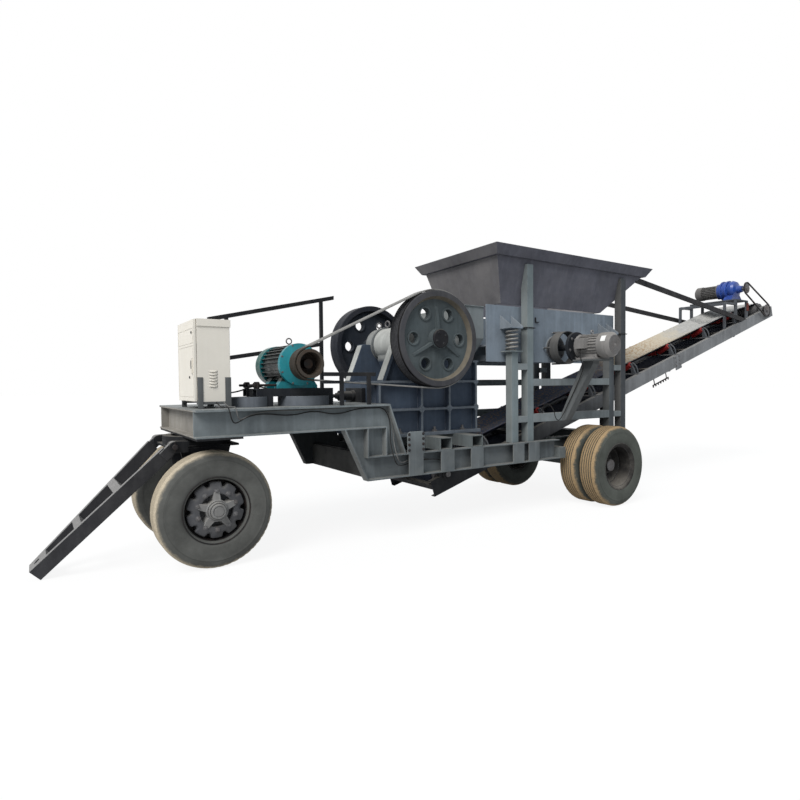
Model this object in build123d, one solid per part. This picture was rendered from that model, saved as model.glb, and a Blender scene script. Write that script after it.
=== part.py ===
"""Wheeled jaw crusher plant: steered front dolly, gooseneck frame, crusher, feeder, hopper and discharge belt.

Millimetres.  X runs along the machine towards the conveyor head, 0 at the front axle.  Y is 0 on the
centre plane and negative on the near side.  Z is 0 on the ground.  At the end everything is moved so
that the origin is at the bottom centre of the whole machine.
"""

import os
from math import asin, atan, atan2, cos, degrees, hypot, pi, radians, sin, tan

from build123d import *

os.makedirs("parts", exist_ok=True)

# Tyres and wheels
TYRE_D = 1085.0
TYRE_W = 290.0
RIM_D = 571.5
FRONT_TRACK = 1170.0
REAR_AXLE_X = 5240.0
DUAL_PITCH = 330.0
REAR_OUTER_TRACK = 2230.0
TYRE_GAP = 50.0
SPINDLE_R = 45.0
RUN_FIT = 0.5
CLEAR = 6.0

# Frame
FRAME_W = 1690.0
BEAM_H = 250.0
BEAM_B = 90.0
WEB_T = 12.0
FLANGE_T = 14.0
DECK_Z0 = 1224.0
DECK_FRONT = -207.0
DECK_END = 1820.0
DECK_T = 6.0
LOW_Z0 = 670.0
LOW_H = 258.0
LOW_END = 4500.0
NECK_FRONT = 1265.0
NECK_FOOT = 1530.0
NECK_HEEL = 2020.0
STIFFENER_X = (1548.0, 1777.0)
DECK_CROSS_X = (500.0, 1180.0, 1650.0)
NECK_CROSS_GAP = 90.0
CLOSER_W = 195.0
CLOSER_X = (2155.0, 2600.0, 3050.0, 3742.0, 4020.0)
UPRIGHT_W = 230.0
UPRIGHT_H = 237.0
REAR_BEAM_B = 90.0
MID_BEAM_L = 120.0
MID_BEAM_H = 150.0
REAR_CROSS_X = 5830.0
REAR_CROSS_L = 220.0

# Dolly and drawbar
RING_R = 330.0
RING_W = 80.0
RING_H = 44.0
BOLSTER_T = 20.0
BOLSTER_X = (-200.0, 215.0)
PIN_X = -310.0
PIN_Y = 410.0
PIN_Z = 1130.0
PIN_R = 20.0
DRAWBAR_L = 1555.0
DRAWBAR_WINDOWS = ((-0.13, 0.355), (0.41, 0.64), (0.69, 0.885))
DRAWBAR_DEPTH = 120.0
DRAWBAR_BEAM = 60.0
TIP_W = 240.0
TOW_HOLE_D = 60.0

# Crusher
SHAFT_X = 2490.0
SHAFT_Z = 2205.0
SHAFT_R = 100.0
CR_Z0 = 1070.0
CR_REAR = 1880.0
CR_FRONT = 3365.0
CR_INNER = 340.0
CR_WALL = 60.0
CR_RIB = 80.0
CR_RIB_T = 26.0
CR_RIB_X = (1910.0, 2500.0, 2920.0)
CR_RIB_Z = (1388.0, 1718.0)
CR_TOP = 1985.0
SEAT_REAR = 340.0
SEAT_FRONT = 230.0
SLOPE_RUN = 200.0
SLOPE_T = 45.0
BARREL_R = 210.0
BEARING_R = 215.0
FLY_R = 550.0
FLY_W = 200.0
FLY_FACE = 850.0
FLY_RIM = 80.0
FLY_WEB = 60.0
FLY_HUB_R = 115.0
FLY_HOLES = 6
FLY_HOLE_R = 65.0
FLY_HOLE_PITCH = 325.0
BEARER_X = (2575.0, 3050.0)
BEARER_W = 175.0
BEARER_T = 12.0

# Main drive
MOTOR_X = 905.0
MOTOR_Z = 1905.0
MOTOR_R = 200.0
MOTOR_END = -600.0
MOTOR_FAN = 215.0
MOTOR_SHAFT_R = 30.0
PULLEY_R = 145.0
PULLEY_W = 190.0
PULLEY_FACE = 830.0
BELTS = 5
BELT_PITCH = 28.0
BELT_W = 22.0
BELT_H = 14.0
BELT_MID = 742.0
RAIL_Z = 1580.0
RAIL_H = 80.0
RAIL_X0 = 460.0
RAIL_X1 = 1300.0
STOOL_W = 60.0
STOOL_X = (RAIL_X0 + 140.0, RAIL_X1 - 30.0)
DRUMS = ((430.0, 185.0), (1010.0, 270.0))
DRUM_WALL = 65.0

# Control cabinet and guards
CAB_X0 = -120.0
CAB_L = 305.0
CAB_Y0 = -570.0
CAB_W = 670.0
CAB_Z0 = 1545.0
CAB_H = 775.0
CAB_T = 4.0
LOUVRES = 6
LOUVRE_STEP = 28.0
LOUVRE_L = 72.0
LOUVRE_H = 9.0
LOUVRE_X = CAB_X0 + 110.0
LOUVRE_Z = CAB_Z0 + 140.0
DOOR_T = 22.0
HINGE_R = 4.0
HINGE_Z = (CAB_Z0 + 330.0, CAB_Z0 + 560.0)
RAIL_Y = 800.0
RAIL_POST_X = (550.0, 1790.0)
GUARD_POST_X = (1240.0, 1560.0)
GUARD_TOP = 1820.0

# Hopper and feeder
HOP_X0 = 3350.0
HOP_X1 = 6570.0
HOP_W = 1750.0
HOP_TOP = 3410.0
RIM_H = 120.0
RIM_FLARE = 75.0
RIM_LEDGE = 45.0
HOP_LOW_X0 = 3650.0
HOP_LOW_X1 = 5646.0
HOP_LOW_W = 1240.0
HOP_LOW_Z = 2712.0
HOP_T = 12.0
TRAY_X0 = 3400.0
TRAY_X1 = 5960.0
TRAY_W = 1240.0
TRAY_Z0 = 1965.0
TRAY_Z1 = 2690.0
TRAY_T = 12.0
TRAY_FLOOR = 2160.0
POST_W = 110.0
POST_Y = 670.0
POST_TOP = 3225.0
SUPPORT_RAIL_Z = ((1173.0, 1281.0), (1650.0, 1744.0))
POST_TIE_Z = (1180.0, 1860.0)
POST_TIE_H = 80.0
SPRING_POST_X = (3742.0, 5698.0)
HOPPER_POST_X = (4020.0, 5975.0)
SPRING_Z0 = 2100.0
SPRING_Z1 = 2385.0
SPRING_R = 84.0
SPRING_WIRE = 13.0
SPRING_TURNS = 5
EXCITER_X = 4650.0
EXCITER_Z = 2160.0
EXCITER_R = 40.0
FEED_MOTOR_R = 150.0
FEED_MOTOR_Y0 = -1590.0
FEED_MOTOR_Y1 = -1060.0
CHUTE_LOW_X = 2900.0
CHUTE_X = 3060.0
CHUTE_RISE = 270.0
CHUTE_GAP = 25.0
CHUTE_SIDE = 20.0
CHUTE_T = 8.0

# Discharge conveyor
CONV_X0 = 2670.0
CONV_Z0 = 312.0
CONV_SLOPE = 17.27
CONV_L = 9121.0
CONV_HALF = 490.0
STRINGER_H = 200.0
STRINGER_B = 70.0
STRINGER_T = 8.0
DRUM_R = 144.0
DRUM_N = 194.0
DRUM_SHAFT_R = 35.0
HEAD_S = 8790.0
TAIL_S = 260.0
BELT_T = 12.0
BELT_FLAT = 130.0
BELT_WING = 230.0
TROUGH = 28.0
CARRY_N = 295.0
IDLER_R = 45.0
IDLER_S0 = 1030.0
IDLER_STEP = 1130.0
IDLERS = 7
RETURN_S = (3000.0, 5250.0, 7500.0)
RETURN_R = 40.0
RETURN_HALF = 385.0
DRIVE_X = 10200.0
DRIVE_Z = 3475.0
GEAR_SHAFT_R = 28.0
SPROCKET_R = 95.0
HEAD_SPROCKET_R = 115.0
CHAIN_Y = -540.0
CHAIN_W = 22.0
CHAIN_H = 20.0
TIE_S = (35.0, 700.0, 1850.0, 3600.0, 4900.0, 6100.0, 7250.0, 8300.0)
TIE_W = 60.0
HANGER_X = 3900.0
HANGER_W = 100.0
PROP_X = 5940.0
PROP_W = 80.0
SPLICE_S = 5510.0

# Places that follow from the sizes above
WHEEL_Z = TYRE_D / 2
HALF_W = FRAME_W / 2
WEB_OUT = HALF_W - BEAM_B
WEB_IN = WEB_OUT - WEB_T
DECK_Z1 = DECK_Z0 + BEAM_H
DECK_TOP = DECK_Z1 + DECK_T
LOW_Z1 = LOW_Z0 + LOW_H
CR_OUTER = CR_INNER + CR_WALL
POST_OUT = POST_Y + POST_W
REAR_BEAM_Y = REAR_OUTER_TRACK / 2 - DUAL_PITCH - TYRE_W / 2 - TYRE_GAP - REAR_BEAM_B
HOP_INSET = RIM_FLARE + RIM_LEDGE
RIM_Z = HOP_TOP - RIM_H
CHUTE_HALF = TRAY_W / 2 - CHUTE_SIDE


def block(x0, x1, y0, y1, z0, z1):
    """Box between two corners."""
    centre = Pos((x0 + x1) / 2, (y0 + y1) / 2, (z0 + z1) / 2)
    return centre * Box(x1 - x0, y1 - y0, z1 - z0)


def prism_y(points, y0, y1):
    """Outline of (x, z) points carried from y0 to y1."""
    face = make_face(Polyline(*[(x, y0, z) for x, z in points], close=True))
    return extrude(face, amount=y1 - y0, dir=(0, 1, 0))


def prism_x(points, x0, x1):
    """Outline of (y, z) points carried from x0 to x1."""
    face = make_face(Polyline(*[(x0, y, z) for y, z in points], close=True))
    return extrude(face, amount=x1 - x0, dir=(1, 0, 0))


def prism_z(points, z0, z1):
    """Outline of (x, y) points carried from z0 to z1."""
    face = make_face(Polyline(*[(x, y, z0) for x, y in points], close=True))
    return extrude(face, amount=z1 - z0, dir=(0, 0, 1))


def rod_y(x, z, r, y0, y1):
    """Round bar along Y."""
    return Pos(x, (y0 + y1) / 2, z) * Rot(90, 0, 0) * Cylinder(r, abs(y1 - y0))


def rod_x(y, z, r, x0, x1):
    """Round bar along X."""
    return Pos((x0 + x1) / 2, y, z) * Rot(0, 90, 0) * Cylinder(r, abs(x1 - x0))


def rod_z(x, y, r, z0, z1):
    """Round bar along Z."""
    return Pos(x, y, (z0 + z1) / 2) * Cylinder(r, z1 - z0)


def spin_y(points, x, z):
    """Outline of (radius, y) points turned about a Y axis through x, z."""
    face = make_face(Polyline(*[(x + r, y, z) for r, y in points], close=True))
    return revolve(face, Axis((x, 0, z), (0, 1, 0)), 360)


def far(shape):
    """Copy on the other side of the centre plane."""
    return mirror(shape, Plane.XZ)


def pair(shape):
    """Both sides as separate solids."""
    return [shape, far(shape)]


def channel_y(x_web, toward, z0, z1, width, web, flange, y0, y1):
    """Channel section along Y with its web at x_web and its flanges pointing along +X or -X."""
    a = x_web
    b = x_web + toward * web
    c = x_web + toward * width
    outline = [(a, z0), (c, z0), (c, z0 + flange), (b, z0 + flange)]
    outline += [(b, z1 - flange), (c, z1 - flange), (c, z1), (a, z1)]
    return prism_y(outline, y0, y1)


def loop_y(c1, r1, c2, r2, depth, y0, y1):
    """Endless belt round two wheels: r1 and r2 are its inner radii, depth its thickness."""

    def hull(ra, rb):
        span = hypot(c2[0] - c1[0], c2[1] - c1[1])
        lean = atan2(c2[1] - c1[1], c2[0] - c1[0])
        open_angle = pi / 2 + asin((rb - ra) / span)
        up, down = lean + open_angle, lean - open_angle
        quad = [
            (c1[0] + ra * cos(up), c1[1] + ra * sin(up)),
            (c2[0] + rb * cos(up), c2[1] + rb * sin(up)),
            (c2[0] + rb * cos(down), c2[1] + rb * sin(down)),
            (c1[0] + ra * cos(down), c1[1] + ra * sin(down)),
        ]
        body = prism_y(quad, y0, y1)
        return body + rod_y(c1[0], c1[1], ra, y0, y1) + rod_y(c2[0], c2[1], rb, y0, y1)

    return hull(r1 + depth, r2 + depth) - hull(r1, r2)


def frustum(low, high):
    """Solid between two level rectangles given as (x0, x1, half width, z)."""
    faces = []
    for x0, x1, half, z in (low, high):
        corners = [(x0, -half, z), (x1, -half, z), (x1, half, z), (x0, half, z)]
        faces.append(make_face(Polyline(*corners, close=True)))
    return loft(faces, ruled=True)


def conveyor_frame(shape):
    """Move a shape from conveyor coordinates (along, across, above) to the machine."""
    a = radians(CONV_SLOPE)
    plane = Plane(origin=(CONV_X0, 0, CONV_Z0), x_dir=(cos(a), 0, sin(a)), z_dir=(-sin(a), 0, cos(a)))
    return plane.location * shape


def conveyor_point(s, n):
    """Machine x and z of a point along and above the conveyor's lower edge."""
    a = radians(CONV_SLOPE)
    return CONV_X0 + s * cos(a) - n * sin(a), CONV_Z0 + s * sin(a) + n * cos(a)


def side_frame():
    """Near side: deck channel, gooseneck plate and lower beam in one weldment, flanges outward."""
    y_out, y_in = -HALF_W, -WEB_IN
    web = prism_y(
        [
            (DECK_FRONT, DECK_Z0),
            (NECK_FRONT, DECK_Z0),
            (NECK_FOOT, LOW_Z0),
            (LOW_END, LOW_Z0),
            (LOW_END, LOW_Z1),
            (NECK_HEEL, LOW_Z1),
            (DECK_END, DECK_Z1),
            (DECK_FRONT, DECK_Z1),
        ],
        -WEB_OUT,
        y_in,
    )
    t = FLANGE_T
    frame = web
    frame += block(DECK_FRONT, DECK_END, y_out, y_in, DECK_Z1 - t, DECK_Z1)
    frame += block(DECK_FRONT, STIFFENER_X[1], y_out, y_in, DECK_Z0, DECK_Z0 + t)
    frame += block(NECK_FOOT, LOW_END, y_out, y_in, LOW_Z0, LOW_Z0 + t)
    frame += block(STIFFENER_X[0], LOW_END, y_out, y_in, LOW_Z1 - t, LOW_Z1)
    toe = 1.15 * t
    edges = (
        ((NECK_FRONT, DECK_Z0), (NECK_FOOT, LOW_Z0), toe),
        ((DECK_END, DECK_Z1), (NECK_HEEL, LOW_Z1), -toe),
    )
    for (xa, za), (xb, zb), step in edges:
        frame += prism_y([(xa, za), (xa + step, za), (xb + step, zb), (xb, zb)], y_out, y_in)
    for x in STIFFENER_X:
        frame += block(x - t, x, y_out, y_in, LOW_Z1 - t, DECK_Z0 + t)
    for x in CLOSER_X:
        frame += block(x - CLOSER_W / 2, x + CLOSER_W / 2, y_out, y_out + WEB_T, LOW_Z0, LOW_Z1)
    upright = block(
        CLOSER_X[0] - UPRIGHT_W / 2,
        CLOSER_X[0] + UPRIGHT_W / 2,
        y_out,
        y_out + WEB_T,
        LOW_Z1 - t,
        LOW_Z1 + UPRIGHT_H,
    )
    top_edges = upright.edges().filter_by(Axis.Y).sort_by(Axis.Z)[-2:]
    frame += fillet(top_edges, 45)
    return frame


def cross_members():
    """Channels between the two side frames, at deck level and under the gooseneck."""
    y0, y1 = -WEB_IN, WEB_IN
    t = FLANGE_T
    beams = [channel_y(DECK_FRONT + BEAM_B, -1, DECK_Z0, DECK_Z1, BEAM_B, WEB_T, t, y0, y1)]
    for x in DECK_CROSS_X:
        beams.append(channel_y(x, 1, DECK_Z0, DECK_Z1, BEAM_B, WEB_T, t, y0, y1))
    for x in (NECK_FOOT + NECK_CROSS_GAP, NECK_HEEL + NECK_CROSS_GAP):
        beams.append(channel_y(x, 1, LOW_Z0, LOW_Z1, BEAM_B, WEB_T, t, y0, y1))
    return beams


def deck_plate():
    return block(DECK_FRONT, DECK_END, -HALF_W, HALF_W, DECK_Z1, DECK_TOP)


def rear_subframe():
    """Narrow rear frame between the dual wheels: two beams and two cross beams."""
    frame = block(LOW_END, LOW_END + MID_BEAM_L, -HALF_W, HALF_W, LOW_Z0, LOW_Z0 + MID_BEAM_H)
    y0, y1 = REAR_BEAM_Y, REAR_BEAM_Y + REAR_BEAM_B
    t = FLANGE_T
    section = [(y0, LOW_Z0), (y1, LOW_Z0), (y1, LOW_Z0 + t), (y0 + WEB_T, LOW_Z0 + t)]
    section += [(y0 + WEB_T, LOW_Z1 - t), (y1, LOW_Z1 - t), (y1, LOW_Z1), (y0, LOW_Z1)]
    beam = prism_x(section, LOW_END + MID_BEAM_L, REAR_CROSS_X)
    frame += beam
    frame += far(beam)
    x0, x1 = REAR_CROSS_X, REAR_CROSS_X + REAR_CROSS_L
    xm = (x0 + x1) / 2
    frame += block(xm - WEB_T / 2, xm + WEB_T / 2, -HALF_W, HALF_W, LOW_Z0, LOW_Z1)
    frame += block(x0, x1, -HALF_W, HALF_W, LOW_Z0, LOW_Z0 + t)
    frame += block(x0, x1, -HALF_W, HALF_W, LOW_Z1 - t, LOW_Z1)
    for y in (REAR_BEAM_Y, HALF_W - WEB_T):
        plate = block(x0, x1, y, y + WEB_T, LOW_Z0, LOW_Z1)
        frame += plate
        frame += far(plate)
    return frame


def crusher_bearers():
    """Two square tubes laid across the lower beams under the crusher, open at both ends."""
    tubes = []
    for x in BEARER_X:
        tube = block(x - BEARER_W / 2, x + BEARER_W / 2, -HALF_W, HALF_W, LOW_Z1, CR_Z0)
        tube -= block(
            x - BEARER_W / 2 + BEARER_T,
            x + BEARER_W / 2 - BEARER_T,
            -HALF_W,
            HALF_W,
            LOW_Z1 + BEARER_T,
            CR_Z0 - BEARER_T,
        )
        tubes.append(tube)
    return tubes


def crusher_wall():
    """Near side plate of the crusher with its rib grid, base flange and bearing seat."""
    y_in, y_out, y_rib = -CR_INNER, -CR_OUTER, -CR_OUTER - CR_RIB
    rear_top, front_top = SHAFT_X - SEAT_REAR, SHAFT_X + SEAT_FRONT
    shelf_z = CR_RIB_Z[1]
    plate = prism_y(
        [
            (CR_REAR, CR_Z0),
            (CR_FRONT, CR_Z0),
            (CR_FRONT, CR_TOP),
            (front_top + 120, CR_TOP),
            (front_top, SHAFT_Z),
            (rear_top, SHAFT_Z),
            (rear_top - SLOPE_RUN, shelf_z),
            (CR_REAR, shelf_z),
        ],
        y_out,
        y_in,
    )
    half = CR_RIB_T / 2
    wall = plate + block(CR_REAR - 40, CR_FRONT + 40, y_rib - 20, y_in, CR_Z0, CR_Z0 + 40)
    for x in CR_RIB_X:
        wall += block(x - half, x + half, y_rib, y_in, CR_Z0, shelf_z)
    wall += block(CR_FRONT - CR_RIB_T, CR_FRONT, y_rib, y_in, CR_Z0, CR_TOP)
    wall += block(CR_REAR, CR_FRONT + 25, y_rib, y_in, CR_RIB_Z[0] - half, CR_RIB_Z[0] + half)
    wall += block(CR_REAR - 220, CR_FRONT + 25, y_rib, y_in, shelf_z - half, shelf_z + half)
    wall += block(CR_FRONT - 60, CR_FRONT + 25, y_rib, y_in, CR_TOP - 25, CR_TOP)
    slope = [
        (rear_top - SLOPE_RUN, shelf_z),
        (rear_top - SLOPE_RUN + SLOPE_T, shelf_z),
        (rear_top + SLOPE_T, SHAFT_Z),
        (rear_top, SHAFT_Z),
    ]
    wall += prism_y(slope, y_out - 60, y_in)
    wall += rod_y(SHAFT_X, SHAFT_Z, BEARING_R, y_out - 70, y_in)
    wall -= rod_y(SHAFT_X, SHAFT_Z, SHAFT_R + RUN_FIT, y_out - 100, y_in + 10)
    return wall


def crusher_end_walls():
    """Front wall with the toothed fixed jaw, and rear wall with the toggle seat."""
    face_x = CR_FRONT - 140.0
    front = block(face_x, CR_FRONT, -CR_INNER, CR_INNER, CR_Z0, CR_TOP)
    teeth = 8
    step = 2 * (CR_INNER - 40) / teeth
    for i in range(teeth):
        y = -CR_INNER + 40 + i * step
        tooth = [(face_x, y), (face_x - 60, y + step * 0.5), (face_x, y + step)]
        front += prism_z(tooth, CR_Z0 + 130, CR_TOP - 30)
    rear = block(CR_REAR, CR_REAR + 90, -CR_INNER, CR_INNER, CR_Z0, CR_RIB_Z[1])
    rear += block(CR_REAR + 90, CR_REAR + 230, -CR_INNER, CR_INNER, CR_Z0 + 310, CR_Z0 + 490)
    return [front, rear]


def swing_jaw():
    """Barrel on the eccentric shaft with the swinging jaw below it and the toggle plate behind."""
    toggle_x = CR_REAR + 230.0
    body = rod_y(SHAFT_X, SHAFT_Z, BARREL_R, -CR_INNER, CR_INNER)
    width = CR_INNER - 30.0
    jaw = [
        (SHAFT_X - 190, SHAFT_Z - 60),
        (SHAFT_X + 190, SHAFT_Z - 60),
        (SHAFT_X + 390, SHAFT_Z - 190),
        (SHAFT_X + 600, CR_Z0 + 150),
        (SHAFT_X + 470, CR_Z0 + 110),
        (SHAFT_X + 150, CR_Z0 + 320),
        (toggle_x + 150, CR_Z0 + 360),
        (toggle_x, CR_Z0 + 370),
        (toggle_x, CR_Z0 + 420),
        (toggle_x + 150, CR_Z0 + 410),
        (SHAFT_X + 60, CR_Z0 + 480),
    ]
    body += prism_y(jaw, -width, width)
    body -= rod_y(SHAFT_X, SHAFT_Z, SHAFT_R + RUN_FIT, -CR_INNER - 10, CR_INNER + 10)
    return body


def eccentric_shaft():
    """Turned shaft through both bearings and both flywheels."""
    y_seat = FLY_FACE - FLY_W
    middle = rod_y(SHAFT_X, SHAFT_Z, SHAFT_R, -y_seat, y_seat)
    ends = rod_y(SHAFT_X, SHAFT_Z, SHAFT_R - 15, -FLY_FACE - 10, FLY_FACE + 10)
    return middle + ends


def flywheel(belt_grooves):
    """Near flywheel: heavy rim, recessed web with six holes in raised rings, three tapered ribs, hub."""
    y_face, y_back = -FLY_FACE, -FLY_FACE + FLY_W
    web0, web1 = y_face + 62.0, y_face + 62.0 + FLY_WEB
    rim_in = FLY_R - FLY_RIM
    rim = spin_y(
        [
            (rim_in + 12, y_face),
            (FLY_R - 8, y_face),
            (FLY_R, y_face + 8),
            (FLY_R, y_back - 8),
            (FLY_R - 8, y_back),
            (rim_in + 12, y_back),
            (rim_in - 14, web1 + 6),
            (rim_in - 14, web0 - 6),
        ],
        SHAFT_X,
        SHAFT_Z,
    )
    wheel = rim + rod_y(SHAFT_X, SHAFT_Z, rim_in, web0, web1)
    wheel += rod_y(SHAFT_X, SHAFT_Z, FLY_HUB_R, y_face - 10, y_back)
    for i in range(FLY_HOLES):
        a = radians(360 / FLY_HOLES * i)
        hx, hz = SHAFT_X + FLY_HOLE_PITCH * cos(a), SHAFT_Z + FLY_HOLE_PITCH * sin(a)
        wheel += rod_y(hx, hz, FLY_HOLE_R + 18, web0 - 12, web1 + 12)
    for turn in (90, 210, 330):
        face = make_face(
            Polyline(
                (FLY_HUB_R - 10, web0 + 10, 0),
                (FLY_HUB_R - 10, y_face + 6, 0),
                (rim_in - 90, web0 - 4, 0),
                (rim_in - 90, web0 + 10, 0),
                close=True,
            )
        )
        rib = extrude(face, amount=17, dir=(0, 0, 1), both=True)
        wheel += Pos(SHAFT_X, 0, SHAFT_Z) * Rot(0, -turn, 0) * rib
    for i in range(FLY_HOLES):
        a = radians(360 / FLY_HOLES * i)
        hx, hz = SHAFT_X + FLY_HOLE_PITCH * cos(a), SHAFT_Z + FLY_HOLE_PITCH * sin(a)
        wheel -= rod_y(hx, hz, FLY_HOLE_R, y_face - 50, y_back + 50)
    if belt_grooves:
        for y in belt_places():
            wheel -= v_groove(SHAFT_X, SHAFT_Z, FLY_R, y)
    wheel -= rod_y(SHAFT_X, SHAFT_Z, SHAFT_R - 15, y_face - 50, y_back + 50)
    return wheel


def v_groove(x, z, r, y):
    """Ring to cut from a wheel of radius r for one V-belt."""
    section = [(r + 5, y - 11), (r - 12, y - 6), (r - 12, y + 6), (r + 5, y + 11)]
    return spin_y(section, x, z)


def belt_places():
    """Y of each V-belt."""
    return [-BELT_MID + (i - (BELTS - 1) / 2) * BELT_PITCH for i in range(BELTS)]


def toggle_adjuster():
    """Spring rod and screw behind the rear wall that hold the toggle up."""
    z = 1590.0
    x1 = CR_REAR
    parts = block(x1 - 55, x1, -200, 200, z - 130, z + 60)
    parts += rod_x(0, z - 30, 22, x1 - 330, x1)
    parts += rod_x(0, z - 30, 52, x1 - 230, x1 - 90)
    parts += rod_x(0, z - 30, 62, x1 - 250, x1 - 230)
    parts += rod_x(0, z - 30, 62, x1 - 90, x1 - 55)
    parts += rod_x(0, z - 30, 36, x1 - 290, x1 - 250)
    return parts


def finned_body(x, z, r, fin, y0, y1, count):
    """Round motor body along Y with straight cooling fins."""
    body = rod_y(x, z, r, y0, y1)
    for i in range(count):
        blade = block(r - 6, r + fin, y0, y1, -4, 4)
        body += Pos(x, 0, z) * Rot(0, 360 / count * i + 360 / count / 2, 0) * blade
    return body


def main_motor():
    """Foot-mounted motor: finned body, end bell with shaft bore, fan cowl and feet."""
    motor = finned_body(MOTOR_X, MOTOR_Z, MOTOR_R - 12, 26, MOTOR_END + 90, MOTOR_FAN - 170, 28)
    bell = [
        (0, MOTOR_END),
        (110, MOTOR_END),
        (150, MOTOR_END + 20),
        (MOTOR_R + 18, MOTOR_END + 45),
        (MOTOR_R + 18, MOTOR_END + 100),
        (0, MOTOR_END + 100),
    ]
    motor += spin_y(bell, MOTOR_X, MOTOR_Z)
    cowl = [
        (0, MOTOR_FAN - 180),
        (MOTOR_R + 20, MOTOR_FAN - 180),
        (MOTOR_R + 20, MOTOR_FAN - 40),
        (MOTOR_R - 20, MOTOR_FAN),
        (0, MOTOR_FAN),
    ]
    motor += spin_y(cowl, MOTOR_X, MOTOR_Z)
    foot_z = RAIL_Z + RAIL_H
    for y in (MOTOR_END + 150, MOTOR_END + 460):
        leg = prism_y(
            [
                (MOTOR_X - 220, foot_z),
                (MOTOR_X + 220, foot_z),
                (MOTOR_X + 220, foot_z + 28),
                (MOTOR_X + 150, foot_z + 130),
                (MOTOR_X - 150, foot_z + 130),
                (MOTOR_X - 220, foot_z + 28),
            ],
            y - 45,
            y + 45,
        )
        motor += leg
    motor -= rod_y(MOTOR_X, MOTOR_Z, MOTOR_SHAFT_R + RUN_FIT, MOTOR_END - 10, MOTOR_END + 60)
    return motor


def motor_pulley():
    """Grooved cast pulley with an open dished face, on its stub of motor shaft."""
    y0, y1 = -PULLEY_FACE, -PULLEY_FACE + PULLEY_W
    pulley = spin_y(
        [
            (PULLEY_R - 30, y0),
            (PULLEY_R, y0),
            (PULLEY_R, y1),
            (0, y1),
            (0, y0 + 60),
            (48, y0 + 60),
            (48, y1 - 50),
            (PULLEY_R - 36, y1 - 50),
        ],
        MOTOR_X,
        MOTOR_Z,
    )
    for y in belt_places():
        pulley -= v_groove(MOTOR_X, MOTOR_Z, PULLEY_R, y)
    pulley += rod_y(MOTOR_X, MOTOR_Z, MOTOR_SHAFT_R, y1, MOTOR_END + 50)
    return pulley


def motor_slide_base():
    """Two channel rails along X with cross ties and short stools on the deck."""
    rails = None
    for y in (MOTOR_END + 150, MOTOR_END + 460):
        z0, z1 = RAIL_Z, RAIL_Z + RAIL_H
        section = [(y - 65, z0), (y - 50, z0), (y - 50, z1 - 12), (y + 50, z1 - 12)]
        section += [(y + 50, z0), (y + 65, z0), (y + 65, z1), (y - 65, z1)]
        rail = prism_x(section, RAIL_X0, RAIL_X1)
        rails = rail if rails is None else rails + rail
        for x in STOOL_X:
            rails += block(x - STOOL_W / 2, x + STOOL_W / 2, y - 65, y + 65, DECK_TOP, RAIL_Z + 20)
    y0, y1 = MOTOR_END + 150 + 65, MOTOR_END + 460 - 65
    for x in (RAIL_X0 + 40, RAIL_X1 - 40):
        rails += block(x - 25, x + 25, y0, y1, RAIL_Z, RAIL_Z + RAIL_H - 12)
    return rails


def deck_drums():
    """Two low round steel drums under the motor base, cut clear of its stools."""
    drums = []
    y = MOTOR_END + 205
    for x, r in DRUMS:
        drum = rod_z(x, y, r, DECK_TOP, RAIL_Z) - rod_z(x, y, r - DRUM_WALL, DECK_TOP + 40, RAIL_Z)
        for stool_x in STOOL_X:
            half = STOOL_W / 2 + 5
            drum -= block(stool_x - half, stool_x + half, y - r - 1, y + r + 1, DECK_TOP, RAIL_Z)
        drums.append(drum.solids().sort_by(SortBy.VOLUME)[-1])
    return drums


def v_belts():
    """Endless V-belts from the motor pulley to the near flywheel."""
    c1, c2 = (MOTOR_X, MOTOR_Z), (SHAFT_X, SHAFT_Z)
    loops = []
    for y in belt_places():
        y0, y1 = y - BELT_W / 2, y + BELT_W / 2
        loops.append(loop_y(c1, PULLEY_R + CLEAR, c2, FLY_R + CLEAR, BELT_H, y0, y1))
    return loops


def cabinet_body():
    """Sheet steel cabinet, open at its front, with louvre slots and a cap."""
    x0, x1 = CAB_X0, CAB_X0 + CAB_L
    y0, y1 = CAB_Y0, CAB_Y0 + CAB_W
    z0, z1 = CAB_Z0, CAB_Z0 + CAB_H
    t = CAB_T
    body = block(x0, x1, y0, y1, z0, z1) + block(x0, x1 + 8, y0 - 8, y1 + 8, z1 - 70, z1)
    body -= block(x0 - 1, x1 - t, y0 + t, y1 - t, z0 + t, z1 - t)
    for i in range(LOUVRES):
        z = LOUVRE_Z + i * LOUVRE_STEP
        body -= block(LOUVRE_X, LOUVRE_X + LOUVRE_L, y0 - 20, y0 + t + 1, z, z + LOUVRE_H)
    ax, ay = door_axis()
    for z in HINGE_Z:
        for end in (z - 45, z + 25):
            body += block(ax - 7, x0 + 40, y1 - 1, ay + 7, end, end + 20)
        body += rod_z(ax, ay, HINGE_R, z - 45, z + 45)
    return body


def door_axis():
    """Plan position of the cabinet door's hinge pins."""
    return CAB_X0 - 5.0 - DOOR_T / 2, CAB_Y0 + CAB_W + 5.0


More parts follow.
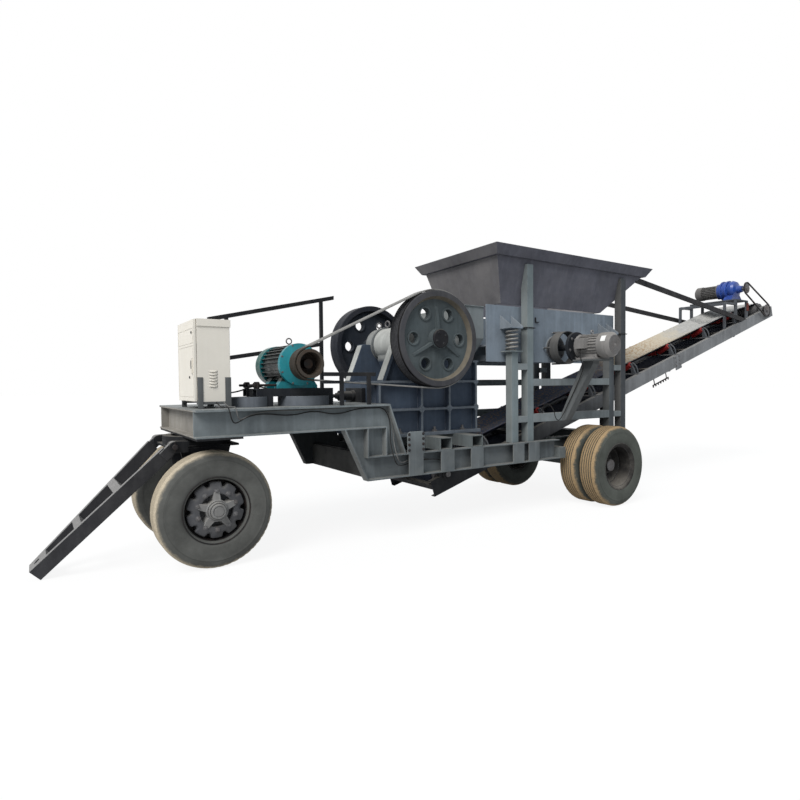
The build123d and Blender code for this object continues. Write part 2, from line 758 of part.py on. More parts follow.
def cabinet_door():
    """Door pan on the front of the cabinet, hinged at the far edge."""
    x1 = CAB_X0 - 5.0
    y0, y1 = CAB_Y0 + 4, CAB_Y0 + CAB_W - 6
    z0, z1 = CAB_Z0 + 6, CAB_Z0 + CAB_H - 6
    door = block(x1 - DOOR_T, x1, y0, y1, z0, z1)
    door -= block(x1 - DOOR_T + 3, x1 + 1, y0 + 20, y1 - 20, z0 + 20, z1 - 20)
    door += block(x1 - DOOR_T - 14, x1 - DOOR_T, y0 + 40, y0 + 66, z0 + 260, z0 + 400)
    ax, ay = door_axis()
    for z in HINGE_Z:
        door += block(ax - 4, ax + 4, y1 - 5, ay, z - 20, z + 20)
        door += rod_z(ax, ay, HINGE_R + 5, z - 20, z + 20)
        door -= rod_z(ax, ay, HINGE_R + RUN_FIT, z - 25, z + 25)
    return door


def cabinet_posts():
    """Angle posts round the cabinet's corners with a shelf bar under each side."""
    x0, x1 = CAB_X0, CAB_X0 + CAB_L
    y0, y1 = CAB_Y0, CAB_Y0 + CAB_W
    t = 6.0
    top = CAB_Z0 + 230
    near = block(x0, x0 + 50, y0 - t, y0, DECK_TOP, top)
    near += block(x1 - 50, x1 + t, y0 - t, y0, DECK_TOP, top)
    near += block(x1, x1 + t, y0 - t, y0 + 50, DECK_TOP, top)
    near += block(x0, x1 + t, y0, y0 + 45, CAB_Z0 - 25, CAB_Z0)
    mid = (y0 + y1) / 2
    other = Pos(0, mid, 0) * mirror(Pos(0, -mid, 0) * near, Plane.XZ)
    return [near, other]


def guard_rails():
    """Sloping hand rail on the far side of the deck and a low frame beside the belts."""
    y = RAIL_Y

    def top_at(x):
        return 2480.0 + (x - 361.0) * (366.0 / 1608.0)

    def mid_at(x):
        return 2030.0 + (x - 599.0) * (213.0 / 1300.0)

    rail = None
    for x in RAIL_POST_X:
        post = block(x - 20, x + 20, y - 20, y + 20, DECK_TOP, top_at(x))
        rail = post if rail is None else rail + post
    for at, x0, x1 in ((top_at, 330.0, 1970.0), (mid_at, 400.0, 1790.0)):
        bar = [(x0, at(x0) - 25), (x1, at(x1) - 25), (x1, at(x1) + 25), (x0, at(x0) + 25)]
        rail += prism_y(bar, y - 20, y + 20)
    low = None
    y0, y1 = -HALF_W, -HALF_W + 24
    for x in GUARD_POST_X:
        post = block(x - 20, x + 20, y0, y1, DECK_TOP, GUARD_TOP)
        low = post if low is None else low + post
    x0, x1 = GUARD_POST_X
    low += block(x0 - 200, x1 + 80, y0, y1, GUARD_TOP - 40, GUARD_TOP)
    low += block(x0 - 220, x0 + 20, y0, y1, GUARD_TOP - 110, GUARD_TOP - 85)
    return [rail, low]


def turntable():
    """Bolster plate under the deck with the fixed upper slew ring."""
    z1 = DECK_Z0
    z0 = z1 - BOLSTER_T
    plate = block(*BOLSTER_X, -HALF_W, HALF_W, z0, z1)
    ring = rod_z(0, 0, RING_R, z0 - RING_H, z0)
    ring -= rod_z(0, 0, RING_R - RING_W, z0 - RING_H - 1, z0 + 1)
    return plate + ring


def dolly_frame():
    """Steered frame: lower slew ring, box bolster, axle with spindles, and drawbar lugs."""
    ring_top = DECK_Z0 - BOLSTER_T - RING_H - RUN_FIT
    ring_low = ring_top - RING_H
    inner = FRONT_TRACK / 2 - TYRE_W / 2
    frame = rod_z(0, 0, RING_R, ring_low, ring_top)
    frame -= rod_z(0, 0, RING_R - RING_W, ring_low - 1, ring_top + 1)
    frame += block(-330, 330, -330, 330, ring_low - 20, ring_low)
    sides = prism_y(
        [
            (-240, ring_low - 20),
            (240, ring_low - 20),
            (120, WHEEL_Z + 60),
            (-120, WHEEL_Z + 60),
        ],
        -340,
        -300,
    )
    frame += sides
    frame += far(sides)
    frame += block(-60, 60, -inner + 40, inner - 40, WHEEL_Z - 60, WHEEL_Z + 60)
    frame += block(-110, 110, -300, 300, WHEEL_Z + 60, WHEEL_Z + 110)
    frame += rod_y(0, WHEEL_Z, SPINDLE_R, -FRONT_TRACK / 2 - 90, FRONT_TRACK / 2 + 90)
    lug_z0, lug_z1 = PIN_Z - 55, PIN_Z + 50
    half = DRAWBAR_BEAM / 2 + 5
    frame += block(-240, -190, -PIN_Y - half - 30, PIN_Y + half + 30, lug_z0, ring_low)
    frame += block(-330, -190, -330, 330, ring_low - 20, ring_low)
    for y in (PIN_Y - half - 30, PIN_Y + half):
        lug = block(PIN_X, -190, y, y + 30, lug_z0, lug_z1) + rod_y(PIN_X, PIN_Z, 50, y, y + 30)
        frame += lug
        frame += far(lug)
    pin = rod_y(PIN_X, PIN_Z, PIN_R, PIN_Y - half - 30, PIN_Y + half + 40)
    frame += pin
    frame += far(pin)
    return frame


def drawbar_angle():
    """Angle below level at which the drawbar's tip just meets the ground."""
    half = DRAWBAR_DEPTH / 2
    return degrees(asin(PIN_Z / hypot(DRAWBAR_L, half)) - atan(half / DRAWBAR_L))


def drawbar():
    """Two beams meeting at a narrow tip, with cross plates and a tow hole, hung on the lug pins."""
    wide, tip = PIN_Y + DRAWBAR_BEAM / 2, TIP_W / 2
    depth = DRAWBAR_DEPTH / 2

    def edge(u, inset):
        return wide + (tip - wide) * u / DRAWBAR_L - inset

    outline = [(0, -wide), (-DRAWBAR_L, -tip), (-DRAWBAR_L, tip), (0, wide)]
    bar = prism_z(outline, -depth, depth)
    for start, end in DRAWBAR_WINDOWS:
        u0, u1 = start * DRAWBAR_L, end * DRAWBAR_L
        window = [
            (-u0, -edge(u0, DRAWBAR_BEAM)),
            (-u1, -edge(u1, DRAWBAR_BEAM)),
            (-u1, edge(u1, DRAWBAR_BEAM)),
            (-u0, edge(u0, DRAWBAR_BEAM)),
        ]
        bar -= prism_z(window, -depth - 1, depth + 1)
    for side in (-1, 1):
        y = side * PIN_Y
        bar -= block(-70, 60, y - 80, y + 80, -depth - 1, depth + 1)
        root = rod_y(0, 0, 50, y - DRAWBAR_BEAM / 2, y + DRAWBAR_BEAM / 2)
        root += block(-130, 0, y - DRAWBAR_BEAM / 2, y + DRAWBAR_BEAM / 2, -48, 48)
        bar += root
        bar -= rod_y(0, 0, PIN_R + RUN_FIT, y - 60, y + 60)
    bar -= rod_z(-DRAWBAR_L + 80, 0, TOW_HOLE_D / 2, -depth - 1, depth + 1)
    return Pos(PIN_X, 0, PIN_Z) * Rot(0, -drawbar_angle(), 0) * bar


def tyre(y_mid):
    """Truck tyre round a Y axis through x 0: bulged walls, flat tread with four grooves."""
    r, b, h = TYRE_D / 2, RIM_D / 2, TYRE_W / 2
    shape = spin_y(
        [
            (b, -h + 40),
            (b + 30, -h + 18),
            (b + 90, -h),
            (r - 130, -h),
            (r - 45, -h + 16),
            (r - 8, -h + 36),
            (r, -h + 62),
            (r, h - 62),
            (r - 8, h - 36),
            (r - 45, h - 16),
            (r - 130, h),
            (b + 90, h),
            (b + 30, h - 18),
            (b, h - 40),
        ],
        0,
        0,
    )
    for y in (-60.0, -20.0, 20.0, 60.0):
        groove = [(r + 5, y - 6), (r - 14, y - 4), (r - 14, y + 4), (r + 5, y + 6)]
        shape -= spin_y(groove, 0, 0)
    return Pos(0, y_mid, WHEEL_Z) * shape


def rim_ring(y):
    """Plain rim inside a tyre's beads, centred on y."""
    b, h = RIM_D / 2, TYRE_W / 2 - 40
    section = [(b, y - h), (b, y + h), (b - 16, y + h), (b - 24, y + 40), (b - 24, y - 40), (b - 16, y - h)]
    return spin_y(section, 0, 0)


def front_wheel(y_mid):
    """Rim on a six-spoke hub with a round cap."""
    b, h = RIM_D / 2, TYRE_W / 2 - 40
    wheel = rim_ring(0)
    for i in range(6):
        spoke = prism_y([(60, -52), (b - 20, -30), (b - 20, 30), (60, 52)], -h + 5, -h + 75)
        wheel += Rot(0, 60 * i + 30, 0) * spoke
    wheel += rod_y(0, 0, 130, -h - 10, -h + 75)
    wheel += rod_y(0, 0, 95, -h - 10, h - 40)
    wheel += rod_y(0, 0, 78, -h - 70, -h - 10)
    wheel -= rod_y(0, 0, SPINDLE_R + RUN_FIT, -h - 40, h + 1)
    return Pos(0, y_mid, WHEEL_Z) * wheel


def rear_wheel():
    """Dual rims bolted back to back on one hub, near side."""
    y_out = -REAR_OUTER_TRACK / 2
    y_in = y_out + DUAL_PITCH
    b, h = RIM_D / 2, TYRE_W / 2 - 40
    wheel = rim_ring(y_out) + rim_ring(y_in)
    mid = (y_out + y_in) / 2
    dish = [
        (b - 2, y_out + h - 1),
        (b - 2, y_in - h + 1),
        (b - 30, y_in - h + 1),
        (b - 60, mid + 14),
        (60, mid + 14),
        (60, mid - 14),
        (b - 75, mid - 14),
        (b - 30, y_out + h - 30),
        (b - 20, y_out + h - 30),
    ]
    wheel += spin_y(dish, 0, 0)
    wheel += rod_y(0, 0, 110, mid - 110, mid + 120)
    wheel += rod_y(0, 0, 82, mid - 150, mid - 110)
    wheel -= rod_y(0, 0, SPINDLE_R + RUN_FIT, mid - 120, mid + 300)
    for i in range(8):
        a = radians(45 * i + 22.5)
        wheel -= rod_y(165 * cos(a), 165 * sin(a), 24, mid - 60, mid + 60)
    return Pos(REAR_AXLE_X, 0, WHEEL_Z) * wheel


def rear_tyres():
    y_out = -REAR_OUTER_TRACK / 2
    return [Pos(REAR_AXLE_X, 0, 0) * tyre(y_out), Pos(REAR_AXLE_X, 0, 0) * tyre(y_out + DUAL_PITCH)]


def rear_axle():
    """Square axle under the rear beams with saddles and round spindles."""
    y_in = REAR_OUTER_TRACK / 2 - DUAL_PITCH - TYRE_W / 2
    mid = REAR_OUTER_TRACK / 2 - DUAL_PITCH / 2
    axle = block(REAR_AXLE_X - 62, REAR_AXLE_X + 62, -y_in + 15, y_in - 15, WHEEL_Z - 62, WHEEL_Z + 62)
    axle += rod_y(REAR_AXLE_X, WHEEL_Z, SPINDLE_R, -mid - 95, mid + 95)
    y0, y1 = REAR_BEAM_Y, REAR_BEAM_Y + REAR_BEAM_B
    saddle = prism_y(
        [
            (REAR_AXLE_X - 180, LOW_Z0),
            (REAR_AXLE_X - 90, WHEEL_Z + 40),
            (REAR_AXLE_X + 90, WHEEL_Z + 40),
            (REAR_AXLE_X + 180, LOW_Z0),
        ],
        y0,
        y1,
    )
    axle += saddle
    axle += far(saddle)
    return axle


def hopper_outer():
    """Outer form of the sloping hopper walls."""
    low = (HOP_LOW_X0, HOP_LOW_X1, HOP_LOW_W / 2, HOP_LOW_Z)
    high = (HOP_X0 + HOP_INSET, HOP_X1 - HOP_INSET, HOP_W / 2 - HOP_INSET, RIM_Z)
    return frustum(low, high)


def hopper_shell():
    t = HOP_T
    low = (HOP_LOW_X0 + t, HOP_LOW_X1 - t, HOP_LOW_W / 2 - t, HOP_LOW_Z)
    inset = HOP_INSET + t
    high = (HOP_X0 + inset, HOP_X1 - inset, HOP_W / 2 - inset, RIM_Z)
    return hopper_outer() - frustum(low, high)


def hopper_rim():
    """Flared band round the mouth of the hopper, on a flat ledge over the walls."""
    t = HOP_T
    f = RIM_FLARE
    z0, z1 = RIM_Z, HOP_TOP
    outer = frustum((HOP_X0 + f, HOP_X1 - f, HOP_W / 2 - f, z0), (HOP_X0, HOP_X1, HOP_W / 2, z1))
    inner = frustum(
        (HOP_X0 + f + t, HOP_X1 - f - t, HOP_W / 2 - f - t, z0),
        (HOP_X0 + t, HOP_X1 - t, HOP_W / 2 - t, z1),
    )
    f += t / 2
    half = HOP_W / 2 - f
    ledge = block(HOP_X0 + f, HOP_X1 - f, -half, half, z0, z0 + t)
    f = HOP_INSET + t
    half = HOP_W / 2 - f
    ledge -= block(HOP_X0 + f, HOP_X1 - f, -half, half, z0, z0 + t)
    return outer - inner + ledge


def hopper_posts():
    """Four posts from the frame up to the sloping hopper walls."""
    posts = []
    for x in HOPPER_POST_X:
        post = block(x - POST_W / 2, x + POST_W / 2, -POST_OUT, -POST_Y, LOW_Z1, POST_TOP)
        post -= hopper_outer()
        post = post.solids().sort_by(Axis.Z)[0]
        posts += pair(post)
    return posts


def spring_posts():
    """Four short posts under the feeder springs, each with a cap plate."""
    front, rear = SPRING_POST_X
    posts = []
    for x, z0 in ((front, LOW_Z1), (rear, LOW_Z1)):
        post = block(x - POST_W / 2, x + POST_W / 2, -POST_OUT, -POST_Y, z0, SPRING_Z0 - 12)
        post += block(x - 105, x + 105, -POST_OUT - 40, -POST_Y + 40, SPRING_Z0 - 12, SPRING_Z0)
        if x == rear:
            x0, x1 = x + POST_W / 2, HOPPER_POST_X[1] - POST_W / 2
            post += block(x0, x1, -POST_OUT, -POST_Y, LOW_Z1, LOW_Z1 + 100)
        posts += pair(post)
    return posts


def support_rails():
    """Horizontal rails between the posts and the short ties between spring and hopper posts."""
    rails = []
    x0, x1 = HOPPER_POST_X[0] + POST_W / 2, SPRING_POST_X[1] - POST_W / 2
    for z0, z1 in SUPPORT_RAIL_Z:
        rails += pair(block(x0, x1, -POST_OUT, -POST_Y, z0, z1))
    spans = [
        (SPRING_POST_X[0] + POST_W / 2, HOPPER_POST_X[0] - POST_W / 2),
        (SPRING_POST_X[1] + POST_W / 2, HOPPER_POST_X[1] - POST_W / 2),
    ]
    for a, b in spans:
        for z in POST_TIE_Z:
            rails += pair(block(a, b, -POST_OUT, -POST_Y + 20, z, z + POST_TIE_H))
    return rails


def feeder_tray():
    """Vibrating trough: tall side plates, floor, back plate, spring brackets and bearing covers."""
    half = TRAY_W / 2
    side = prism_y(
        [
            (TRAY_X0, TRAY_Z0),
            (TRAY_X1 - 700, TRAY_Z0),
            (TRAY_X1, TRAY_Z0 + 420),
            (TRAY_X1, TRAY_Z1),
            (TRAY_X0, TRAY_Z1),
        ],
        -half,
        -half + TRAY_T,
    )
    tray = side + far(side)
    tray += prism_y(
        [
            (TRAY_X0, TRAY_FLOOR),
            (TRAY_X1, TRAY_FLOOR + 230),
            (TRAY_X1, TRAY_FLOOR + 250),
            (TRAY_X0, TRAY_FLOOR + 20),
        ],
        -half,
        half,
    )
    tray += block(TRAY_X1 - TRAY_T, TRAY_X1, -half, half, TRAY_FLOOR + 240, TRAY_Z1)
    for x in (TRAY_X0 + 150, EXCITER_X - 420, EXCITER_X + 420):
        tray += block(x - 30, x + 30, -half, half, TRAY_Z0 + 20, TRAY_Z0 + 90)
    tray += rod_y(EXCITER_X, EXCITER_Z - 30, 120, -half, half)
    for x in SPRING_POST_X:
        bracket = block(x - 105, x + 105, -POST_OUT - 40, -half, SPRING_Z1, SPRING_Z1 + 15)
        for gx in (x - 105, x + 90):
            z = SPRING_Z1 + 15
            gusset = [(-half, z), (-POST_OUT - 40, z), (-POST_OUT - 40, z + 15), (-half, z + 160)]
            bracket += prism_x(gusset, gx, gx + 15)
        tray += bracket
        tray += far(bracket)
    cover = rod_y(EXCITER_X, EXCITER_Z, 172, -half - 40, -half)
    cover += rod_y(EXCITER_X, EXCITER_Z, 110, -half - 75, -half - 40)
    tray += cover
    tray += far(cover)
    y0, y1 = -half - 250, -half - 110
    strip = rod_y(EXCITER_X, EXCITER_Z, 222, y0, y1) - rod_y(EXCITER_X, EXCITER_Z, 210, y0 - 1, y1 + 1)
    strip -= prism_y([(0, 0), (400, -190), (400, 190)], y0 - 1, y1 + 1).moved(Pos(EXCITER_X, 0, EXCITER_Z))
    tray += strip
    for a in (100, 180, 260):
        x, z = EXCITER_X + 216 * cos(radians(a)), EXCITER_Z + 216 * sin(radians(a))
        tray += rod_y(x, z, 12, y1 - 20, -half)
    tray -= rod_y(EXCITER_X, EXCITER_Z, EXCITER_R + RUN_FIT, -half - 80, -half + 60)
    return tray


def feeder_springs():
    """Four coil springs under the feeder brackets."""
    springs = []
    turns = SPRING_TURNS
    height = SPRING_Z1 - SPRING_Z0
    pitch = (height - 2 * SPRING_WIRE) / turns
    for x in SPRING_POST_X:
        path = Helix(pitch, pitch * turns, SPRING_R - SPRING_WIRE)
        start = path @ 0
        wire = Plane(origin=start, z_dir=path % 0) * Circle(SPRING_WIRE)
        coil = sweep(wire, path=path)
        y = -(POST_Y + POST_OUT) / 2
        coil = Pos(x, y, SPRING_Z0 + SPRING_WIRE) * coil
        springs += pair(coil)
    return springs


def exciter_coupling():
    """Shaft out of the exciter with the coupling disc in front of the feeder motor."""
    half = TRAY_W / 2
    shaft = rod_y(EXCITER_X, EXCITER_Z, EXCITER_R, FEED_MOTOR_Y1 + 40, -half + 40)
    disc = rod_y(EXCITER_X, EXCITER_Z, 195, -half - 400, -half - 360)
    hub = rod_y(EXCITER_X, EXCITER_Z, 90, -half - 400, -half - 290)
    return shaft + disc + hub


def feeder_motor():
    """Foot-mounted motor with fins, fan cowl and terminal box, shaft end towards the feeder."""
    y0, y1, r = FEED_MOTOR_Y0, FEED_MOTOR_Y1, FEED_MOTOR_R
    motor = finned_body(EXCITER_X, EXCITER_Z, r - 15, 15, y0 + 150, y1 - 60, 24)
    bell = [(0, y1 - 70), (r + 8, y1 - 70), (r + 8, y1 - 25), (r - 50, y1), (0, y1)]
    motor += spin_y(bell, EXCITER_X, EXCITER_Z)
    cowl = [(0, y0), (r - 30, y0), (r + 8, y0 + 45), (r + 8, y0 + 170), (0, y0 + 170)]
    motor += spin_y(cowl, EXCITER_X, EXCITER_Z)
    z0 = EXCITER_Z - r - 25
    motor += block(EXCITER_X - 150, EXCITER_X + 150, y0 + 190, y1 - 60, z0, z0 + 22)
    for x in (EXCITER_X - 100, EXCITER_X + 75):
        motor += block(x, x + 25, y0 + 200, y1 - 70, z0, EXCITER_Z - 60)
    x = EXCITER_X - r
    motor += block(x - 70, x + 60, y1 - 230, y1 - 90, EXCITER_Z - 40, EXCITER_Z + 90)
    return motor


def feeder_motor_stand():
    """Box-section bracket leaning out from the lower rail, with the motor plate on top."""
    z1 = EXCITER_Z - FEED_MOTOR_R - 25
    z0 = z1 - 20
    plate = block(EXCITER_X - 170, EXCITER_X + 170, FEED_MOTOR_Y0 + 160, FEED_MOTOR_Y1 - 20, z0, z1)
    y = -POST_OUT
    arm = prism_x(
        [
            (y, SUPPORT_RAIL_Z[0][0] + 2),
            (y, SUPPORT_RAIL_Z[0][1] - 2),
            (FEED_MOTOR_Y1 - 70, z0),
            (FEED_MOTOR_Y1 - 230, z0),
            (FEED_MOTOR_Y1 - 225, z0 - 40),
            (y - 60, SUPPORT_RAIL_Z[0][0] + 2),
        ],
        EXCITER_X - 30,
        EXCITER_X + 90,
    )
    return plate + arm


def chute():
    """Open-backed chute from the feeder lip down to the crusher mouth."""
    t = CHUTE_T
    z0, z1, z2 = CR_TOP, CR_TOP + CHUTE_RISE, TRAY_Z1 - 40
    back = TRAY_X0 - CHUTE_GAP
    low = (CHUTE_LOW_X, CR_FRONT - CHUTE_GAP, CR_OUTER - CHUTE_SIDE, z0)
    mid = (CHUTE_X, back, CHUTE_HALF, z1)
    top = (CHUTE_X, back, CHUTE_HALF, z2)

    def inset(rect):
        return (rect[0] + t, rect[1] + 200, rect[2] - t, rect[3])

    shape = frustum(low, mid) - frustum(inset(low), inset(mid))
    upper = frustum(mid, top) - frustum(inset(mid), inset(top))
    lip = block(CHUTE_X, back, -CHUTE_HALF - 15, -CHUTE_HALF + t, z2, z2 + 10)
    return shape + upper + lip + far(lip)


def stringers():
    """Two channel sides of the conveyor, webs outward, with splice plates and shaft holes."""
    h, b, t, y = STRINGER_H, STRINGER_B, STRINGER_T, CONV_HALF
    section = [(-y, 0), (-y + b, 0), (-y + b, t), (-y + t, t)]
    section += [(-y + t, h - t), (-y + b, h - t), (-y + b, h), (-y, h)]
    beam = prism_x(section, 0, CONV_L)
    beam += block(SPLICE_S - 90, SPLICE_S + 90, -y - 10, -y, -45, h)
    for s in (HEAD_S, TAIL_S):
        beam += block(s - 110, s + 110, -y, -y + 55, DRUM_N - 70, DRUM_N + 75)
        beam -= rod_y(s, DRUM_N, DRUM_SHAFT_R + RUN_FIT, -y - 50, -y + 100)
    beam = conveyor_frame(beam)
    return pair(beam)


def conveyor_ties():
    """Cross ties between the stringers, hangers at the lower beams and props on the rear cross beam."""
    ties = []
    y = CONV_HALF - STRINGER_T
    for s in TIE_S:
        ties.append(conveyor_frame(block(s - TIE_W / 2, s + TIE_W / 2, -y, y, 90, 90 + TIE_W)))
    x0, x1 = HANGER_X - HANGER_W / 2, HANGER_X + HANGER_W / 2
    hanger = block(x0, x1, -WEB_IN, -CONV_HALF, LOW_Z0 + 30, LOW_Z0 + 30 + HANGER_W)
    ties += pair(hanger)
    below = conveyor_frame(block(0, CONV_L, -2000, 2000, 0, 3000))
    x0, x1 = PROP_X - PROP_W / 2, PROP_X + PROP_W / 2
    prop = block(x0, x1, -CONV_HALF, -CONV_HALF + STRINGER_B, LOW_Z1, LOW_Z1 + 600) - below
    ties += pair(prop.solids()[0])
    return ties


def trough(s, lift, angle):
    """Belt cross-section at s as a face: flat centre with two wings."""
    a = radians(angle)
    c, w, t = BELT_FLAT, BELT_WING, BELT_T
    lower = [(c, 0), (c + w * cos(a), w * sin(a))]
    upper = [(c + w * cos(a) - t * sin(a), w * sin(a) + t * cos(a)), (c - t * tan(a / 2), t)]
    right = lower + upper
    left = [(-y, n) for y, n in reversed(right)]
    return make_face(Polyline(*[(s, y, n + lift) for y, n in right + left], close=True))


def conveyor_belt():
    """Endless belt: troughed carrying run, flat return run, turned round both drums."""
    inner = DRUM_R + CLEAR
    top = DRUM_N + inner
    half = BELT_FLAT + BELT_WING
    s0, s1 = IDLER_S0 - 250, IDLER_S0 + IDLER_STEP * (IDLERS - 1) + 250
    belt = loft([trough(s0, CARRY_N, TROUGH), trough(s1, CARRY_N, TROUGH)], ruled=True)
    belt += loft([trough(TAIL_S, top, 0.5), trough(s0, CARRY_N, TROUGH)], ruled=True)
    belt += loft([trough(s1, CARRY_N, TROUGH), trough(HEAD_S, top, 0.5)], ruled=True)
    belt += block(TAIL_S, HEAD_S, -half, half, DRUM_N - inner - BELT_T, DRUM_N - inner)
    for s, x0, x1 in ((TAIL_S, TAIL_S - 400, TAIL_S), (HEAD_S, HEAD_S, HEAD_S + 400)):
        ring = rod_y(s, DRUM_N, inner + BELT_T, -half, half)
        ring -= rod_y(s, DRUM_N, inner, -half - 1, half + 1)
        belt += ring & block(x0, x1, -half, half, DRUM_N - 400, DRUM_N + 400)
    return conveyor_frame(belt)


def drum(s, shaft_near, shaft_far):
    """Conveyor drum with rounded ends on a through shaft."""
    half = CONV_HALF - STRINGER_B - 15
    body = rod_y(s, DRUM_N, DRUM_R, -half, half)
    return body + rod_y(s, DRUM_N, DRUM_SHAFT_R, -shaft_near, shaft_far)


def head_drum():
    """Head drum with its chain sprocket outside the near stringer."""
    shape = drum(HEAD_S, CONV_HALF + 80, CONV_HALF + 30)
    shape += sprocket(HEAD_S, DRUM_N, HEAD_SPROCKET_R, 22)
    return conveyor_frame(shape)


def tail_drum():
    return conveyor_frame(drum(TAIL_S, CONV_HALF + 30, CONV_HALF + 30))


def sprocket(x, z, r, teeth):
    """Toothed chain wheel in the chain's plane."""
    y0, y1 = CHAIN_Y - CHAIN_W / 2 + 4, CHAIN_Y + CHAIN_W / 2 - 4
    wheel = rod_y(x, z, r - 12, y0, y1)
    for i in range(teeth):
        tooth = prism_y([(r - 16, -9), (r, -3), (r, 3), (r - 16, 9)], y0, y1)
        wheel += Pos(x, 0, z) * Rot(0, 360 / teeth * i, 0) * tooth
    return wheel + rod_y(x, z, 50, y0 - 12, y1 + 20)


def carry_rolls(s):
    """The three rolls of one carrying idler, in conveyor coordinates."""
    a = radians(TROUGH)
    centre = rod_y(s, CARRY_N - IDLER_R, IDLER_R, -BELT_FLAT + 12, BELT_FLAT - 12)
    y = BELT_FLAT + BELT_WING / 2 * cos(a) + IDLER_R * sin(a)
    n = CARRY_N + BELT_WING / 2 * sin(a) - IDLER_R * cos(a)
    wing = Pos(s, y, n) * Rot(TROUGH + 90, 0, 0) * Cylinder(IDLER_R, BELT_WING - 6)
    return [centre, wing, far(wing)]


def return_roll(s):
    """Flat roller under the return run, in conveyor coordinates."""
    n = DRUM_N - DRUM_R - CLEAR - BELT_T - RETURN_R
    return rod_y(s, n, RETURN_R, -RETURN_HALF, RETURN_HALF)


def idler_places():
    return [IDLER_S0 + i * IDLER_STEP for i in range(IDLERS)]


def idler_rolls():
    """Three-roll carrying idlers and flat return rollers."""
    rolls = [roll for s in idler_places() for roll in carry_rolls(s)]
    rolls += [return_roll(s) for s in RETURN_S]
    return [conveyor_frame(roll) for roll in rolls]


def idler_frames():
    """Bridge under each carrying idler with end brackets, and hangers of the return rollers."""
    frames = []
    a = radians(TROUGH)
    y_end = BELT_FLAT + BELT_WING * cos(a) + IDLER_R * sin(a) - 8
    n_end = CARRY_N + BELT_WING * sin(a) - IDLER_R * cos(a)
    for s in idler_places():
        frame = block(s - 30, s + 30, -CONV_HALF, CONV_HALF, STRINGER_H, STRINGER_H + 6)
        end = prism_x(
            [
                (y_end, STRINGER_H),
                (y_end + 80, STRINGER_H),
                (y_end + 30, n_end + 20),
                (y_end + 8, n_end + 20),
            ],
            s - 18,
            s + 18,
        )
        frame += end
        frame += far(end)
        for y in (-BELT_FLAT, BELT_FLAT):
            frame += block(s - 18, s + 18, y - 12, y + 12, STRINGER_H, CARRY_N - IDLER_R)
        for roll in carry_rolls(s):
            frame -= roll
        frames.append(conveyor_frame(frame))
    for s in RETURN_S:
        n = DRUM_N - DRUM_R - CLEAR - BELT_T - RETURN_R
        hanger = block(s - 20, s + 20, -RETURN_HALF - 10, -RETURN_HALF, n - 25, 0)
        hanger += block(s - 20, s + 20, -CONV_HALF, -RETURN_HALF, -10, 0)
        frames += pair(conveyor_frame(hanger))
    return frames


def drive_platform():
    """Plate over the belt on four legs, with a light portal behind it."""
    z1 = DRIVE_Z - 210.0
    z0 = z1 - 20.0
    below = conveyor_frame(block(-2000, CONV_L + 2000, -2000, 2000, -3000, STRINGER_H))
    y1 = CONV_HALF - 40
    y0 = y1 - 35
    table = block(DRIVE_X - 240, DRIVE_X + 240, -y1, y1, z0, z1)
    for x in (DRIVE_X - 210, DRIVE_X + 210):
        leg = block(x - 30, x + 30, -y1, -y0, DRIVE_Z - 900, z0) - below
        leg = leg.solids().sort_by(Axis.Z)[-1]
        table += leg
        table += far(leg)
    x = DRIVE_X - 620
    top = z0 - 70
    portal = block(x - 25, x + 25, -y1, y1, top - 50, top)
    leg = block(x - 25, x + 25, -y1, -y0, DRIVE_Z - 1100, top) - below
    leg = leg.solids().sort_by(Axis.Z)[-1]
    portal += leg
    portal += far(leg)
    tie = block(x + 25, DRIVE_X - 240, -y1, -y0, z0 - 100, z0 - 60)
    link = block(DRIVE_X - 240, DRIVE_X - 180, -y1, -y0, z0 - 100, z0)
    for piece in (tie, link):
        portal += piece
        portal += far(piece)
    return table + portal


def drive_reducer():
    """Cycloidal reducer: ribbed round case on a foot, low-speed end towards the chain."""
    z1 = DRIVE_Z - 210.0
    y0, y1 = -460.0, -30.0
    case = spin_y(
        [
            (0, y0),
            (60, y0),
            (78, y0 + 90),
            (150, y0 + 110),
            (172, y0 + 150),
            (172, y0 + 185),
            (150, y0 + 190),
            (150, y0 + 230),
            (190, y0 + 235),
            (190, y0 + 265),
            (165, y0 + 270),
            (165, y0 + 330),
            (190, y0 + 335),
            (190, y0 + 360),
            (150, y0 + 370),
            (150, y1),
            (0, y1),
        ],
        DRIVE_X,
        DRIVE_Z,
    )
    case += prism_y(
        [
            (DRIVE_X - 190, z1),
            (DRIVE_X + 190, z1),
            (DRIVE_X + 190, z1 + 28),
            (DRIVE_X + 110, z1 + 110),
            (DRIVE_X - 110, z1 + 110),
            (DRIVE_X - 190, z1 + 28),
        ],
        y0 + 110,
        y0 + 270,
    )
    case -= rod_y(DRIVE_X, DRIVE_Z, GEAR_SHAFT_R + RUN_FIT, y0 - 10, y0 + 60)
    return case


def drive_motor():
    """Flange motor on the reducer's input side with fins and fan cowl."""
    y0, y1 = -30.0, 420.0
    motor = finned_body(DRIVE_X, DRIVE_Z, 112, 18, y0 + 20, y1 - 110, 24)
    motor += rod_y(DRIVE_X, DRIVE_Z, 150, y0, y0 + 22)
    motor += spin_y([(0, y1 - 130), (138, y1 - 130), (138, y1 - 25), (112, y1), (0, y1)], DRIVE_X, DRIVE_Z)
    return motor


def drive_sprocket():
    """Small chain wheel on the reducer's output shaft."""
    wheel = sprocket(DRIVE_X, DRIVE_Z, SPROCKET_R, 18)
    return wheel + rod_y(DRIVE_X, DRIVE_Z, GEAR_SHAFT_R, CHAIN_Y - 20, -410)


